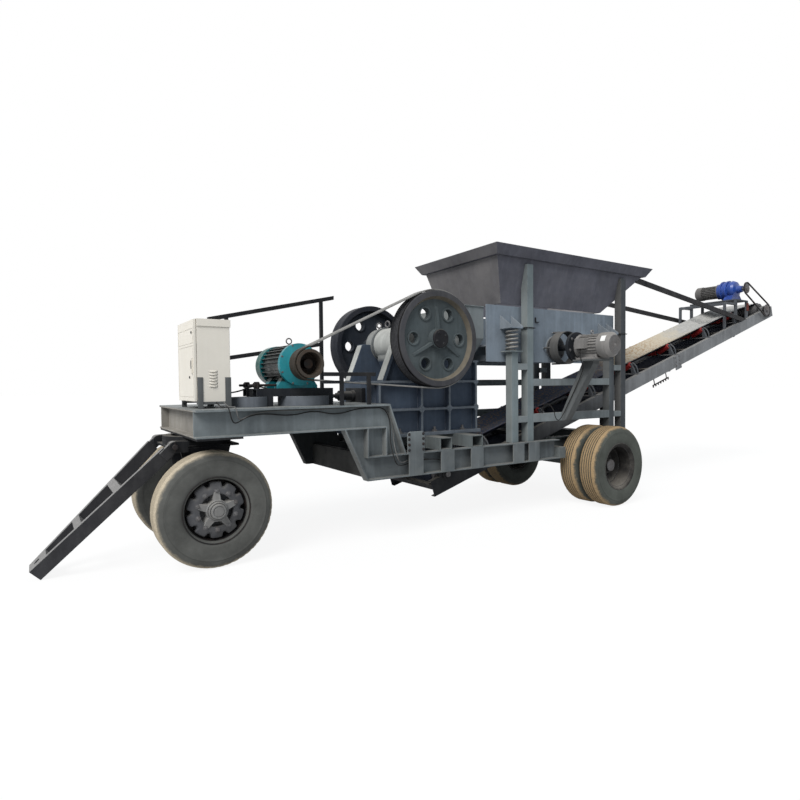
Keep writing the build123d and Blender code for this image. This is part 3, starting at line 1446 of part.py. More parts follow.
def drive_chain():
    """Endless roller chain from the reducer to the head drum."""
    c2 = conveyor_point(HEAD_S, DRUM_N)
    y0, y1 = CHAIN_Y - CHAIN_W / 2, CHAIN_Y + CHAIN_W / 2
    return loop_y(
        (DRIVE_X, DRIVE_Z),
        SPROCKET_R + CLEAR,
        c2,
        HEAD_SPROCKET_R + CLEAR,
        CHAIN_H,
        y0,
        y1,
    )


def conveyor_struts():
    """Two long stays from the hopper's rear corners down to the conveyor stringers."""
    top = Vector(HOP_X1 - HOP_INSET - 80, -HOP_W / 2 + HOP_INSET + 30, RIM_Z - 45)
    foot_x = DRIVE_X + 60.0
    slope = tan(radians(CONV_SLOPE))
    foot_z = CONV_Z0 + (foot_x - CONV_X0) * slope + STRINGER_H / cos(radians(CONV_SLOPE))
    foot = Vector(foot_x, -CONV_HALF + 18, foot_z - 20)
    along = foot - top
    plane = Plane(origin=top, z_dir=along, x_dir=(0, 1, 0))
    stay = plane.location * (Pos(0, 0, along.length / 2) * Box(30, 80, along.length + 200))
    stay -= hopper_outer()
    stay -= block(HOP_X0, HOP_X1, -HOP_W, HOP_W, RIM_Z, HOP_TOP + 500)
    stay -= block(HOP_X0, top.X - 40, -HOP_W, HOP_W, 0, HOP_TOP)
    stay -= conveyor_frame(block(-2000, CONV_L + 2000, -2000, 2000, -3000, STRINGER_H))
    stay = stay.solids().sort_by(SortBy.VOLUME)[-1]
    return pair(stay)


NODES = {
    "side_frame_near": side_frame,
    "side_frame_far": lambda: far(side_frame()),
    "cross_members": cross_members,
    "deck_plate": deck_plate,
    "rear_subframe": rear_subframe,
    "crusher_bearers": crusher_bearers,
    "crusher_wall_near": crusher_wall,
    "crusher_wall_far": lambda: far(crusher_wall()),
    "crusher_end_walls": crusher_end_walls,
    "swing_jaw": swing_jaw,
    "eccentric_shaft": eccentric_shaft,
    "flywheel_near": lambda: flywheel(True),
    "flywheel_far": lambda: far(flywheel(False)),
    "toggle_adjuster": toggle_adjuster,
    "main_motor": main_motor,
    "motor_pulley": motor_pulley,
    "motor_slide_base": motor_slide_base,
    "deck_drums": deck_drums,
    "v_belts": v_belts,
    "cabinet_body": cabinet_body,
    "cabinet_door": cabinet_door,
    "cabinet_posts": cabinet_posts,
    "guard_rails": guard_rails,
    "turntable": turntable,
    "dolly_frame": dolly_frame,
    "drawbar": drawbar,
    "front_tyre_near": lambda: tyre(-FRONT_TRACK / 2),
    "front_tyre_far": lambda: tyre(FRONT_TRACK / 2),
    "front_wheel_near": lambda: front_wheel(-FRONT_TRACK / 2),
    "front_wheel_far": lambda: far(front_wheel(-FRONT_TRACK / 2)),
    "rear_axle": rear_axle,
    "rear_tyres_near": rear_tyres,
    "rear_tyres_far": lambda: [far(t) for t in rear_tyres()],
    "rear_wheel_near": rear_wheel,
    "rear_wheel_far": lambda: far(rear_wheel()),
    "hopper_shell": hopper_shell,
    "hopper_rim": hopper_rim,
    "hopper_posts": hopper_posts,
    "spring_posts": spring_posts,
    "support_rails": support_rails,
    "feeder_tray": feeder_tray,
    "feeder_springs": feeder_springs,
    "exciter_coupling": exciter_coupling,
    "feeder_motor": feeder_motor,
    "feeder_motor_stand": feeder_motor_stand,
    "chute": chute,
    "conveyor_stringers": stringers,
    "conveyor_ties": conveyor_ties,
    "conveyor_belt": conveyor_belt,
    "head_drum": head_drum,
    "tail_drum": tail_drum,
    "idler_rolls": idler_rolls,
    "idler_frames": idler_frames,
    "drive_platform": drive_platform,
    "drive_motor": drive_motor,
    "drive_reducer": drive_reducer,
    "drive_sprocket": drive_sprocket,
    "drive_chain": drive_chain,
    "conveyor_struts": conveyor_struts,
}


def solids_of(shape):
    """Flat list of the solids in a shape or a list of shapes."""
    if isinstance(shape, (list, tuple)):
        return [s for item in shape for s in solids_of(item)]
    return list(shape.solids())


def main():
    built = {name: solids_of(make()) for name, make in NODES.items()}
    whole = Compound([s for group in built.values() for s in group]).bounding_box()
    shift = Pos(-(whole.min.X + whole.max.X) / 2, -(whole.min.Y + whole.max.Y) / 2, -whole.min.Z)
    for name, group in built.items():
        moved = [shift * s for s in group]
        shape = moved[0] if len(moved) == 1 else Compound(moved)
        export_step(shape, f"parts/{name}.step")
    print("origin moved by", [round(v, 3) for v in shift.position])
    print("size", [round(v, 1) for v in whole.size])


if __name__ == "__main__":
    main()
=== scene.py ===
"""Finish for the wheeled jaw crusher plant: paints, dust, tyres, fasteners, cables and a studio stage."""

import math

import bmesh
import bpy
from bpy.props import FloatProperty, FloatVectorProperty, IntProperty, PointerProperty
from mathutils import Matrix, Vector


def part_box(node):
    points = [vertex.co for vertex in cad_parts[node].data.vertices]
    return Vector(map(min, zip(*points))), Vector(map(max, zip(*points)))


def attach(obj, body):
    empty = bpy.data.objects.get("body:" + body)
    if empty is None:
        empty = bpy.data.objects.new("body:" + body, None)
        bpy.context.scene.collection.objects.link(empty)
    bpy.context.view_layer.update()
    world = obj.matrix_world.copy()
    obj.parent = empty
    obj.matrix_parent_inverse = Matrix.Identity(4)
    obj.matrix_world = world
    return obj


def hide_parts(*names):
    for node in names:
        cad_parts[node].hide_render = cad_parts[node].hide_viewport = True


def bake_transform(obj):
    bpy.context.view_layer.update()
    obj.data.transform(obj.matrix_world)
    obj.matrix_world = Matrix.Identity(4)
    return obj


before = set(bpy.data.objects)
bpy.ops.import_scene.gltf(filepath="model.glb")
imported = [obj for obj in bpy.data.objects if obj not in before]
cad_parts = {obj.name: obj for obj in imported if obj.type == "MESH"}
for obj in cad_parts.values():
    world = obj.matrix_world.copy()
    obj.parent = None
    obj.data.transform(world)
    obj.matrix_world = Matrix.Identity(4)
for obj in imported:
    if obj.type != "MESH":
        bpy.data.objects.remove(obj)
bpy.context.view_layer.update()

bl_info = {
    "name": "Jaw crusher plant finish",
    "version": (1, 0, 0),
    "blender": (4, 5, 0),
    "location": "View3D > Sidebar > Crusher plant",
    "description": "Dresses the packed crusher plant with paint, dust, tyres, fasteners and cables",
    "category": "Object",
}


def centre_of(node):
    low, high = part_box(node)
    return (low + high) / 2


def size_of(node):
    low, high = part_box(node)
    return high - low


AXLE = (centre_of("front_tyre_near") + centre_of("front_tyre_far")) / 2
TYRE_R = size_of("front_tyre_near").z / 2
TYRE_W = size_of("front_tyre_near").y
RIM_R = size_of("front_wheel_near").z / 2
FLY_R = size_of("flywheel_far").z / 2
PULLEY_R = size_of("motor_pulley").z / 2


def at(x, y, z):
    """Point of the plant from metres along, across and above the front axle's ground point."""
    return Vector((x + AXLE.x, y + AXLE.y, z))


# Places, in metres from the front axle's ground point

SHAFT = (2.49, 2.205)
MOTOR = (0.905, 1.905)
MOTOR_BELL = -0.5
MOTOR_COWL = 0.03
EXCITER = (4.65, 2.16)
DRIVE = (10.2, 3.475)
CABINET_LOW = (-0.12, -0.57, 1.545)
CABINET_SIZE = (0.305, 0.67, 0.775)
SLOPE = math.radians(17.27)
BELT_FOOT = (2.67, 0.312)


def on_belt(along, across, above):
    """Point from metres along, across and above the conveyor's lower edge."""
    x = BELT_FOOT[0] + along * math.cos(SLOPE) - above * math.sin(SLOPE)
    z = BELT_FOOT[1] + along * math.sin(SLOPE) + above * math.cos(SLOPE)
    return at(x, across, z)


# Properties

def colour(label, text, value):
    return FloatVectorProperty(
        name=label, description=text, subtype="COLOR", size=3, min=0, max=1, default=value)


def metres(label, text, value):
    return FloatProperty(name=label, description=text, unit="LENGTH", min=0, default=value)


def amount(label, text, value, most=100):
    return FloatProperty(name=label, description=text, min=0, max=most, default=value)


class PlantPaint(bpy.types.PropertyGroup):
    """Colours of the plant's finishes."""

    frame_colour: colour("Frame", "Grey-green paint of the frame", (0.205, 0.232, 0.243))
    # Dark far-side frame colour is painted shade: the frame's inner faces lie in shadow under the deck.
    far_frame_shade_colour: colour("Frame inside", "Dark paint standing for shade on the far side of the frame", (0.036, 0.04, 0.043))
    post_colour: colour("Posts", "Lighter paint of the hopper posts", (0.18, 0.217, 0.23))
    crusher_colour: colour("Crusher", "Blue-grey paint of the crusher", (0.064, 0.086, 0.123))
    flywheel_colour: colour("Flywheel", "Dark paint of the flywheels", (0.066, 0.067, 0.074))
    hopper_colour: colour("Hopper", "Blue-grey paint of the hopper", (0.128, 0.13, 0.156))
    feeder_colour: colour("Feeder", "Lighter paint of the feeder tray", (0.205, 0.245, 0.29))
    barrel_colour: colour("Barrel", "Pale primer on the jaw barrel", (0.46, 0.47, 0.45))
    black_colour: colour("Black paint", "Paint of guards and brackets", (0.02, 0.021, 0.024))
    drawbar_colour: colour("Drawbar", "Dark worn paint of the drawbar", (0.042, 0.042, 0.046))
    motor_colour: colour("Main motor", "Teal enamel of the main motor", (0.011, 0.23, 0.275))
    grey_motor_colour: colour("Small motors", "Grey enamel of the small motors", (0.27, 0.26, 0.252))
    reducer_colour: colour("Reducer", "Blue enamel of the reducer", (0.011, 0.062, 0.34))
    cabinet_colour: colour("Cabinet", "Cream powder coat of the cabinet", (0.76, 0.72, 0.645))
    roller_colour: colour("Rollers", "Red paint of the rollers", (0.3, 0.02, 0.02))
    rubber_colour: colour("Rubber", "Tyre rubber", (0.082, 0.083, 0.078))
    dust_colour: colour("Dust", "Road dust and stone dust", (0.29, 0.268, 0.235))
    mud_colour: colour("Mud", "Dried mud on the rear treads", (0.4, 0.28, 0.155))
    rust_colour: colour("Rust", "Rust on bare iron", (0.12, 0.06, 0.03))


class PlantDetail(bpy.types.PropertyGroup):
    """Sizes of the small pieces."""

    bolt_radius: metres("Bolt", "Radius of a frame bolt's head", 0.012)
    stud_radius: metres("Wheel nut", "Radius of a wheel nut", 0.017)
    tread_depth: metres("Tread depth", "Depth of the tyre grooves", 0.012)
    tyre_segments: IntProperty(name="Tyre segments", description="Facets round a tyre", min=48, default=192)


class PlantStage(bpy.types.PropertyGroup):
    """Light and floor."""

    key_strength: amount("Key light", "Strength of the soft sun", 3.2)
    sky_strength: amount("Fill light", "Strength of the even light", 0.52)
    floor_colour: colour("Floor", "Colour of the pale floor", (0.5, 0.5, 0.5))
    floor_glow: amount("Floor white", "Share of plain white in the floor", 0.8, most=1)


def paint():
    return bpy.context.scene.plant_paint


def detail():
    return bpy.context.scene.plant_detail


# Materials

SOCKETS = {"metallic": "Metallic", "specular": "Specular IOR Level"}


def cleared_tree(owner):
    """Empty node tree of a material or a world."""
    owner.use_nodes = True
    owner.node_tree.nodes.clear()
    return owner.node_tree


def add_node(tree, kind, inputs=None, **settings):
    """Add a node with its settings; an input takes a value or another node's socket."""
    node = tree.nodes.new(kind)
    for key, value in settings.items():
        setattr(node, key, value)
    for key, value in (inputs or {}).items():
        if isinstance(value, bpy.types.NodeSocket):
            tree.links.new(value, node.inputs[key])
        else:
            node.inputs[key].default_value = value
    return node


def rgba(tone):
    """Colour for a node's input: a socket as it is, a plain colour with full alpha."""
    return tone if isinstance(tone, bpy.types.NodeSocket) else (*tone, 1.0)


class Finish:
    """A material under construction: adds nodes and links them by value or socket."""

    def __init__(self, name):
        self.material = bpy.data.materials.new(name)
        self.tree = cleared_tree(self.material)
        self.spot = self.add("ShaderNodeTexCoord")
        self.here = self.spot.outputs["Object"]

    def add(self, kind, inputs=None, **settings):
        return add_node(self.tree, kind, inputs, **settings)

    def noise(self, scale, detail=4.0, rough=0.55, where=None):
        where = where or self.here
        inputs = {"Vector": where, "Scale": scale, "Detail": detail, "Roughness": rough}
        return self.add("ShaderNodeTexNoise", inputs).outputs["Fac"]

    def stretched(self, scale):
        return self.add("ShaderNodeMapping", {"Vector": self.here, "Scale": scale}).outputs["Vector"]

    def spread(self, value, low, high, to_low=0.0, to_high=1.0):
        inputs = {"Value": value, "From Min": low, "From Max": high, "To Min": to_low, "To Max": to_high}
        return self.add("ShaderNodeMapRange", inputs).outputs["Result"]

    def maths(self, operation, a, b=0.0):
        return self.add("ShaderNodeMath", {0: a, 1: b}, operation=operation).outputs[0]

    def times(self, a, b):
        return self.maths("MULTIPLY", a, b)

    def plus(self, a, b):
        return self.maths("ADD", a, b)

    def vector(self, operation, a, b, result="Vector"):
        return self.add("ShaderNodeVectorMath", {0: a, 1: b}, operation=operation).outputs[result]

    def mix(self, amount, a, b, blend="MIX"):
        inputs = {0: amount, 6: rgba(a), 7: rgba(b)}
        return self.add("ShaderNodeMix", inputs, data_type="RGBA", blend_type=blend).outputs[2]

    def scaled(self, tone, factor, lift=0.0):
        """A colour, plain or from a node, made darker or paler."""
        if not isinstance(tone, bpy.types.NodeSocket):
            return tuple(min(1.0, factor * c + lift) for c in tone)
        return self.mix(1.0, self.mix(1.0, tone, (factor,) * 3, "MULTIPLY"), (lift,) * 3, "ADD")

    def place(self, axis):
        return self.add("ShaderNodeSeparateXYZ", {0: self.here}).outputs[axis]

    def facing(self, axis, low, high):
        """Mask of faces by how far they look along an axis."""
        parts = self.add("ShaderNodeSeparateXYZ", {0: self.spot.outputs["Normal"]})
        return self.spread(parts.outputs[axis], low, high)

    def from_line(self, centre):
        """Distance from a line along Y through a point (x, z) of the plant."""
        spot = at(centre[0], 0, centre[1])
        away = self.vector("SUBTRACT", self.here, tuple(spot))
        flat = self.vector("MULTIPLY", away, (1.0, 0.0, 1.0))
        return self.vector("LENGTH", flat, (0.0, 0.0, 0.0), "Value")

    def ground(self, base, zones):
        """Base colour with other colours laid over it where their masks say."""
        for mask, other in zones:
            base = self.mix(mask(self), base, other)
        return base

    def edges(self, radius):
        """Mask of corners, and the rounded normal there."""
        rounded = self.add("ShaderNodeBevel", {"Radius": radius}, samples=4).outputs["Normal"]
        flat = self.add("ShaderNodeNewGeometry").outputs["Normal"]
        return self.spread(self.vector("DOT_PRODUCT", rounded, flat, "Value"), 0.985, 0.84), rounded

    def bump(self, strength, distance, height, normal=None):
        inputs = {"Strength": strength, "Distance": distance, "Height": height}
        if normal is not None:
            inputs["Normal"] = normal
        return self.add("ShaderNodeBump", inputs).outputs[0]

    def surface(self, base, rough, normal, **constants):
        inputs = {"Base Color": rgba(base), "Roughness": rough, "Normal": normal}
        for key, value in constants.items():
            inputs[SOCKETS[key]] = value
        shader = self.add("ShaderNodeBsdfPrincipled", inputs)
        self.add("ShaderNodeOutputMaterial", {"Surface": shader.outputs[0]})
        return self.material


def along(axis, start, stop):
    """Mask that grows from start to stop along an axis, in metres of the plant."""
    shift = {"X": AXLE.x, "Y": AXLE.y, "Z": 0.0}[axis]
    return lambda f: f.spread(f.place(axis), start + shift, stop + shift)


def between(axis, start, stop, soft=0.004):
    """Mask of a band between two places along an axis."""
    rise = along(axis, start - soft, start + soft)
    fall = along(axis, stop + soft, stop - soft)
    return lambda f: f.times(rise(f), fall(f))


def within(centre, radius, soft=0.006):
    """Mask of what lies inside a radius about a line along Y."""
    return lambda f: f.spread(f.from_line(centre), radius + soft, radius - soft)


def exciter_side(f):
    """Mask of the exciter's flanges outside the feeder tray's near side."""
    return f.times(within(EXCITER, 0.26)(f), along("Y", -0.635, -0.645)(f))


def drum_face(centre, low, high):
    """Mask of round faces about a line along Y, between two radii."""
    def mask(f):
        level = f.vector("ABSOLUTE", f.spot.outputs["Normal"], (0.0, 0.0, 0.0))
        sideways = f.add("ShaderNodeSeparateXYZ", {0: level}).outputs["Y"]
        away = f.from_line(centre)
        band = f.times(f.maths("GREATER_THAN", away, low), f.maths("LESS_THAN", away, high))
        return f.times(band, f.spread(sideways, 0.75, 0.55))
    return mask


def weathered(name, base, zones=(), tops=0.5, patches=0.55, runs=0.35, worn=0.45, rough=0.55, grain=0.25,
              low_dust=0.0, front=0.0, dust=None, edge=0.007, shine=0.06):
    """Site-worn paint: patchy tone, dirt runs, dust on ledges, worn pale edges that also serve as painted
    highlights, and a fine orange peel.

    front is the share of pale tan on faces that look towards the drawbar: part road dust, part painted light
    from the key light on that side.
    """
    f = Finish(name)
    dust = dust or paint().dust_colour
    base = f.ground(base, zones)
    dark = f.scaled(base, 0.42)
    pale = f.scaled(base, 1.5, 0.006)
    broad = f.noise(1.5, 7, 0.68)
    tone = f.mix(patches, base, f.mix(f.spread(broad, 0.38, 0.64), dark, base))
    streak = f.noise(1.0, 5, 0.6, f.stretched((13, 13, 0.9)))
    tone = f.mix(f.times(f.spread(streak, 0.5, 0.76), runs), tone, pale)
    grime = f.noise(1.0, 6, 0.65, f.stretched((9, 9, 1.6)))
    tone = f.mix(f.times(f.spread(grime, 0.55, 0.75), 0.8 * runs), tone, dark)
    speck = f.noise(55, 5, 0.75)
    film = f.times(f.spread(f.noise(3.2, 7, 0.7), 0.42, 0.7), f.spread(speck, 0.3, 0.7, 0.4, 1))
    ledge = f.times(f.facing("Z", 0.3, 0.95), f.spread(speck, 0.2, 0.6, 0.55, 1))
    veil = f.plus(f.times(ledge, tops), f.times(film, 0.13 * patches))
    if low_dust:
        low = f.times(f.spread(f.place("Z"), 1.1, 0.3), low_dust)
        veil = f.plus(veil, f.times(low, film))
    # Pale tan on faces towards the drawbar: road dust, and painted light where the key light falls.
    if front:
        front_dust_and_light = f.times(f.facing("X", -0.35, -0.95), f.spread(broad, 0.3, 0.65, 0.5, 1))
        veil = f.plus(veil, f.times(front_dust_and_light, front))
    tone = f.mix(f.maths("MINIMUM", veil, 0.92), tone, dust)
    # Pale edges: worn paint, and painted highlights where light catches the edges, as on the hopper rim and
    # the motor's fin tips.
    mask, rounded = f.edges(edge)
    edge_chips_and_highlights = f.times(mask, f.spread(f.noise(24, 5, 0.7), 0.34, 0.58))
    worn_and_lit_edge = f.mix(0.4, pale, (0.3, 0.31, 0.32))
    tone = f.mix(f.times(edge_chips_and_highlights, worn), tone, worn_and_lit_edge)
    height = f.plus(speck, f.times(broad, 1.5))
    normal = f.bump(grain, 0.002, height, rounded)
    gloss = f.spread(f.noise(7, 4, 0.6), 0.3, 0.7, rough - 0.12, rough + 0.2)
    return f.surface(tone, gloss, normal, specular=shine)


def rubber(name, base, dusty):
    """Weathered rubber with dust worked into it."""
    f = Finish(name)
    broad = f.noise(4, 5, 0.6)
    speck = f.noise(70, 5, 0.7)
    amount = f.times(f.spread(broad, 0.25, 0.7, 0.45, 1.1), f.spread(speck, 0.25, 0.7, 0.55, 1.1))
    tone = f.mix(f.times(amount, dusty), base, paint().dust_colour)
    normal = f.bump(0.35, 0.0015, speck)
    return f.surface(tone, f.spread(speck, 0.2, 0.8, 0.7, 0.95), normal, specular=0.12)


def tyre_rubber(name, base, dirt, ragged):
    """Neutral rubber walls with painted shade in their creases, and dirt crusted on the tread down to a
    ragged line on the shoulder.
    """
    f = Finish(name)
    caked_and_crease_shade = f.add("ShaderNodeAttribute", attribute_name="caked_and_crease_shade").outputs["Fac"]
    fringe = f.spread(f.noise(11, 7, 0.75), 0.25, 0.75, -ragged, ragged)
    cover = f.spread(f.plus(caked_and_crease_shade, fringe), 0.35, 0.75)
    haze = f.spread(f.noise(3.5, 6, 0.65), 0.3, 0.72)
    wall = f.mix(haze, f.scaled(base, 0.8), f.scaled(base, 1.5))
    # Below nought the wall goes darker: painted shade in the side wall's creases.
    wall = f.mix(f.spread(caked_and_crease_shade, 0.0, -0.5, 0.0, 0.6), wall, f.scaled(base, 0.35))
    speck = f.noise(75, 5, 0.75)
    crust = f.mix(f.spread(speck, 0.3, 0.7), f.scaled(dirt, 0.6), f.scaled(dirt, 1.1))
    tone = f.mix(f.times(cover, 0.9), wall, crust)
    normal = f.bump(0.35, 0.0015, speck)
    return f.surface(tone, f.spread(speck, 0.2, 0.8, 0.6, 0.9), normal, specular=0.14)


def bare_steel(name, base, zones=(), rusty=0.3, rough=0.45, metal=0.8):
    """Machined or galvanised steel with rust bloom."""
    f = Finish(name)
    base = f.ground(base, zones)
    bloom = f.spread(f.noise(9, 6, 0.7), 0.45, 0.72)
    fine = f.noise(60, 5, 0.65)
    tone = f.mix(f.spread(fine, 0.3, 0.7), base, f.scaled(base, 0.6))
    tone = f.mix(f.times(bloom, rusty), tone, paint().rust_colour)
    mask, rounded = f.edges(0.003)
    tone = f.mix(f.times(mask, 0.35), tone, f.scaled(base, 1.5, 0.03))
    normal = f.bump(0.2, 0.001, fine, rounded)
    gloss = f.spread(bloom, 0, 1, rough, min(1, rough + 0.35))
    return f.surface(tone, gloss, normal, metallic=metal, specular=0.2)


def conveyor_rubber(name, base):
    """Belt rubber: grey at the head, stone dust and crumbs half way, dark navy with a few crumbs towards the
    loading end.
    """
    f = Finish(name)
    mottled = f.spread(f.noise(5, 6, 0.65), 0.25, 0.75, -0.3, 0.3)
    amount = f.spread(f.plus(along("X", 9.4, 8.1)(f), mottled), 0.15, 0.7)
    toward_loading_end = f.spread(f.plus(along("X", 7.3, 6.3)(f), mottled), 0.3, 0.7)
    crumbs = f.spread(f.noise(30, 4, 0.7), 0.5, 0.58)
    crumbs = f.times(crumbs, along("X", 8.7, 7.9)(f))
    film = f.mix(f.spread(f.noise(22, 5, 0.7), 0.3, 0.7), (0.3, 0.3, 0.292), (0.46, 0.455, 0.435))
    stone = f.mix(f.times(crumbs, 0.85), (0.47, 0.42, 0.335), (0.3, 0.17, 0.08))
    # Dark navy with a few crumbs towards the loading end.
    bare = f.mix(f.times(crumbs, 0.55), (0.085, 0.1, 0.145), (0.3, 0.21, 0.12))
    laden = f.mix(toward_loading_end, f.mix(amount, film, stone), bare)
    upright = tuple(on_belt(0, 0, 1) - on_belt(0, 0, 0))
    lift = f.vector("DOT_PRODUCT", f.vector("SUBTRACT", f.here, tuple(on_belt(0, 0, 0.23))), upright, "Value")
    carrying = f.times(f.spread(lift, -0.01, 0.02), f.facing("Z", 0.2, 0.6))
    tone = f.mix(carrying, base, laden)
    height = f.plus(f.noise(90, 5, 0.7), f.times(crumbs, amount))
    normal = f.bump(0.4, 0.004, height)
    return f.surface(tone, 0.85, normal, specular=0.12)


def frame_finishes(p):
    """Paints of the frame, posts, hopper and conveyor steel."""
    black = p.black_colour
    return {
        # frame_paint turns darker below about 1 m: painted shade on the lower beam under the deck.
        "frame_paint": (weathered, p.frame_colour, dict(
            zones=[(along("Z", 1.2, 0.95), (0.14, 0.158, 0.167))], tops=0.3, low_dust=0.25, front=0.3)),
        # Darker copy of the frame paint for the far side and cross members: painted shade.
        "inner_paint": (weathered, p.far_frame_shade_colour, dict(
            # Tan on the frame's front end: road dust, and painted light from the key light on that end.
            zones=[(along("X", 0.0, -0.06), (0.29, 0.275, 0.25))], tops=0.15, low_dust=0.2, front=0.15,
            shine=0.03)),
        "rear_paint": (weathered, (0.13, 0.148, 0.152), dict(tops=0.4, low_dust=0.4)),
        "dolly_paint": (weathered, black, dict(tops=0.35, low_dust=0.5)),
        "drawbar_paint": (weathered, p.drawbar_colour, dict(
            tops=0.75, worn=0.8, dust=(0.42, 0.41, 0.4))),
        # post_paint darkens from 5.2 to 5.8 m along: painted shade on the rear posts.
        "post_paint": (weathered, p.post_colour, dict(
            zones=[(along("X", 5.2, 5.8), (0.066, 0.073, 0.082))], tops=0.3, front=0.25)),
        "stand_paint": (weathered, (0.125, 0.133, 0.136), dict(tops=0.3)),
        "drum_paint": (weathered, (0.135, 0.15, 0.172), dict(tops=0.3)),
        "hopper_paint": (weathered, p.hopper_colour, dict(
            tops=0.2, runs=0.3, front=0.4, worn=0.8, edge=0.012)),
        "feeder_paint": (weathered, p.feeder_colour, dict(
            zones=[(exciter_side, (0.06, 0.064, 0.07))], tops=0.3, front=0.2)),
        # stringer_paint darkens from 5.9 down to 3.6 m along: painted shade on the stringers under the plant.
        "stringer_paint": (weathered, (0.21, 0.218, 0.228), dict(
            zones=[(along("X", 5.9, 3.6), (0.026, 0.028, 0.032))], tops=0.4)),
        "hoop_paint": (weathered, (0.1, 0.108, 0.12), dict(tops=0.3)),
        "strut_paint": (weathered, (0.03, 0.03, 0.033), dict(tops=0.45)),
        "black_paint": (weathered, black, dict(tops=0.25, worn=0.3, rough=0.45)),
    }


def machine_finishes(p):
    """Finishes of the crusher, motors, cabinet and rollers."""
    crusher = p.crusher_colour
    return {
        "crusher_paint": (weathered, crusher, dict(
            zones=[
                (along("Y", -0.471, -0.477), (0.15, 0.175, 0.205)),
                (within(SHAFT, 0.222), (0.27, 0.28, 0.275)),
            ],
            tops=0.2, worn=1.0, patches=0.6, rough=0.5, edge=0.012)),
        "flange_paint": (weathered, (0.12, 0.13, 0.135), dict(tops=0.3, worn=0.7)),
        "slide_paint": (weathered, (0.024, 0.027, 0.033), dict(tops=0.12)),
        "flywheel_paint": (weathered, p.flywheel_colour, dict(
            zones=[
                # Lighter bluish web: paint tone with a painted sheen of the sky on the glossy paint.
                (within(SHAFT, FLY_R - 0.085), (0.082, 0.1, 0.107)),
                (drum_face(SHAFT, FLY_R - 0.095, FLY_R - 0.065), (0.15, 0.132, 0.104)),
                (drum_face(SHAFT, FLY_R - 0.035, FLY_R + 0.01), (0.007, 0.007, 0.008)),
            ],
            tops=0.02, worn=0.3, patches=0.6, rough=0.5, shine=0.04)),
        # Darker copy of the flywheel paint: painted shade on the far flywheel's inner face, with its web
        # lighter as on the near flywheel.
        "far_flywheel_paint": (weathered, (0.026, 0.029, 0.038), dict(
            zones=[(within(SHAFT, FLY_R - 0.085), (0.036, 0.044, 0.058))], tops=0.1, worn=0.5, patches=0.6,
            shine=0.04)),
        "jaw_primer": (weathered, p.barrel_colour, dict(
            zones=[(along("Z", 2.03, 1.98), crusher)], tops=0.25, runs=0.45, rough=0.4)),
        "pale_primer": (weathered, p.barrel_colour, dict(tops=0.25, runs=0.4, rough=0.4)),
        "teal_enamel": (weathered, p.motor_colour, dict(
            zones=[
                # Dark band over the finned body between bell and cowl: painted shade between the fins.
                (between("Y", MOTOR_BELL, MOTOR_COWL), (0.005, 0.014, 0.014)),
                (along("Y", MOTOR_COWL, MOTOR_COWL + 0.01), (0.013, 0.095, 0.082)),
                (along("Z", 1.74, 1.72), p.motor_colour),
            ],
            tops=0.12, rough=0.3, worn=0.12, runs=0.3, patches=0.75, shine=0.2)),
        "dark_fins": (weathered, (0.016, 0.024, 0.026), dict(tops=0.3, rough=0.5)),
        "grey_enamel": (weathered, p.grey_motor_colour, dict(tops=0.3, rough=0.4)),
        "drive_enamel": (weathered, (0.15, 0.145, 0.142), dict(
            zones=[(along("Y", -0.86, -0.88), (0.3, 0.29, 0.28))], tops=0.3, rough=0.45)),
        "blue_enamel": (weathered, p.reducer_colour, dict(
            tops=0.1, rough=0.25, worn=0.2, patches=0.85, shine=0.4)),
        "cabinet_coat": (weathered, p.cabinet_colour, dict(
            tops=0.1, runs=0.06, patches=0.1, worn=0.05, rough=0.4, grain=0.08)),
        "roller_red": (weathered, p.roller_colour, dict(tops=0.3, rough=0.5)),
        "wheel_iron": (weathered, (0.09, 0.092, 0.1), dict(tops=0.3, worn=1.0, low_dust=0.2)),
        "star_iron": (weathered, (0.22, 0.218, 0.215), dict(tops=0.3, worn=0.9, low_dust=0.2)),
        "rear_iron": (weathered, (0.022, 0.021, 0.021), dict(tops=0.45, low_dust=0.3, worn=0.9)),
    }


def bare_finishes(p):
    """Rubber, cable sheath and bare metal."""
    tyre = p.rubber_colour
    return {
        "front_tyre": (tyre_rubber, tyre, dict(dirt=(0.56, 0.48, 0.36), ragged=0.16)),
        "rear_tyre": (tyre_rubber, (0.06, 0.065, 0.058), dict(dirt=p.mud_colour, ragged=0.35)),
        "drive_belt": (weathered, (0.27, 0.265, 0.255), dict(
            zones=[(within(MOTOR, PULLEY_R + 0.035), (0.05, 0.042, 0.034))], tops=0.1, worn=0.2)),
        "belt_cover": (conveyor_rubber, (0.018, 0.022, 0.036), {}),
        "cable_rubber": (rubber, (0.012, 0.012, 0.013), dict(dusty=0.06)),
        "grey_cable": (rubber, (0.12, 0.12, 0.12), dict(dusty=0.15)),
        "plate_white": (weathered, (0.85, 0.85, 0.83), dict(tops=0.05, patches=0.1, runs=0.05, worn=0.1)),
        "rust_red": (weathered, (0.16, 0.04, 0.03), dict(tops=0.3)),
        "steel": (bare_steel, (0.3, 0.3, 0.3), dict(rusty=0.3)),
        "spring_steel": (bare_steel, (0.28, 0.28, 0.27), dict(rusty=0.15, rough=0.5, metal=0.3)),
        "dull_steel": (bare_steel, (0.16, 0.16, 0.165), dict(rusty=0.25, rough=0.55, metal=0.5)),
        "black_steel": (bare_steel, (0.03, 0.03, 0.033), dict(rusty=0.25, rough=0.5, metal=0.4)),
        "rusty_iron": (bare_steel, (0.06, 0.05, 0.041), dict(
            # Near black inside 0.74 of the pulley's radius: painted shade in the pulley's hollow.
            zones=[(within(MOTOR, 0.74 * PULLEY_R), (0.006, 0.0055, 0.0055))],
            rusty=0.3, rough=0.55, metal=0.1)),
    }


FINISHES = {}


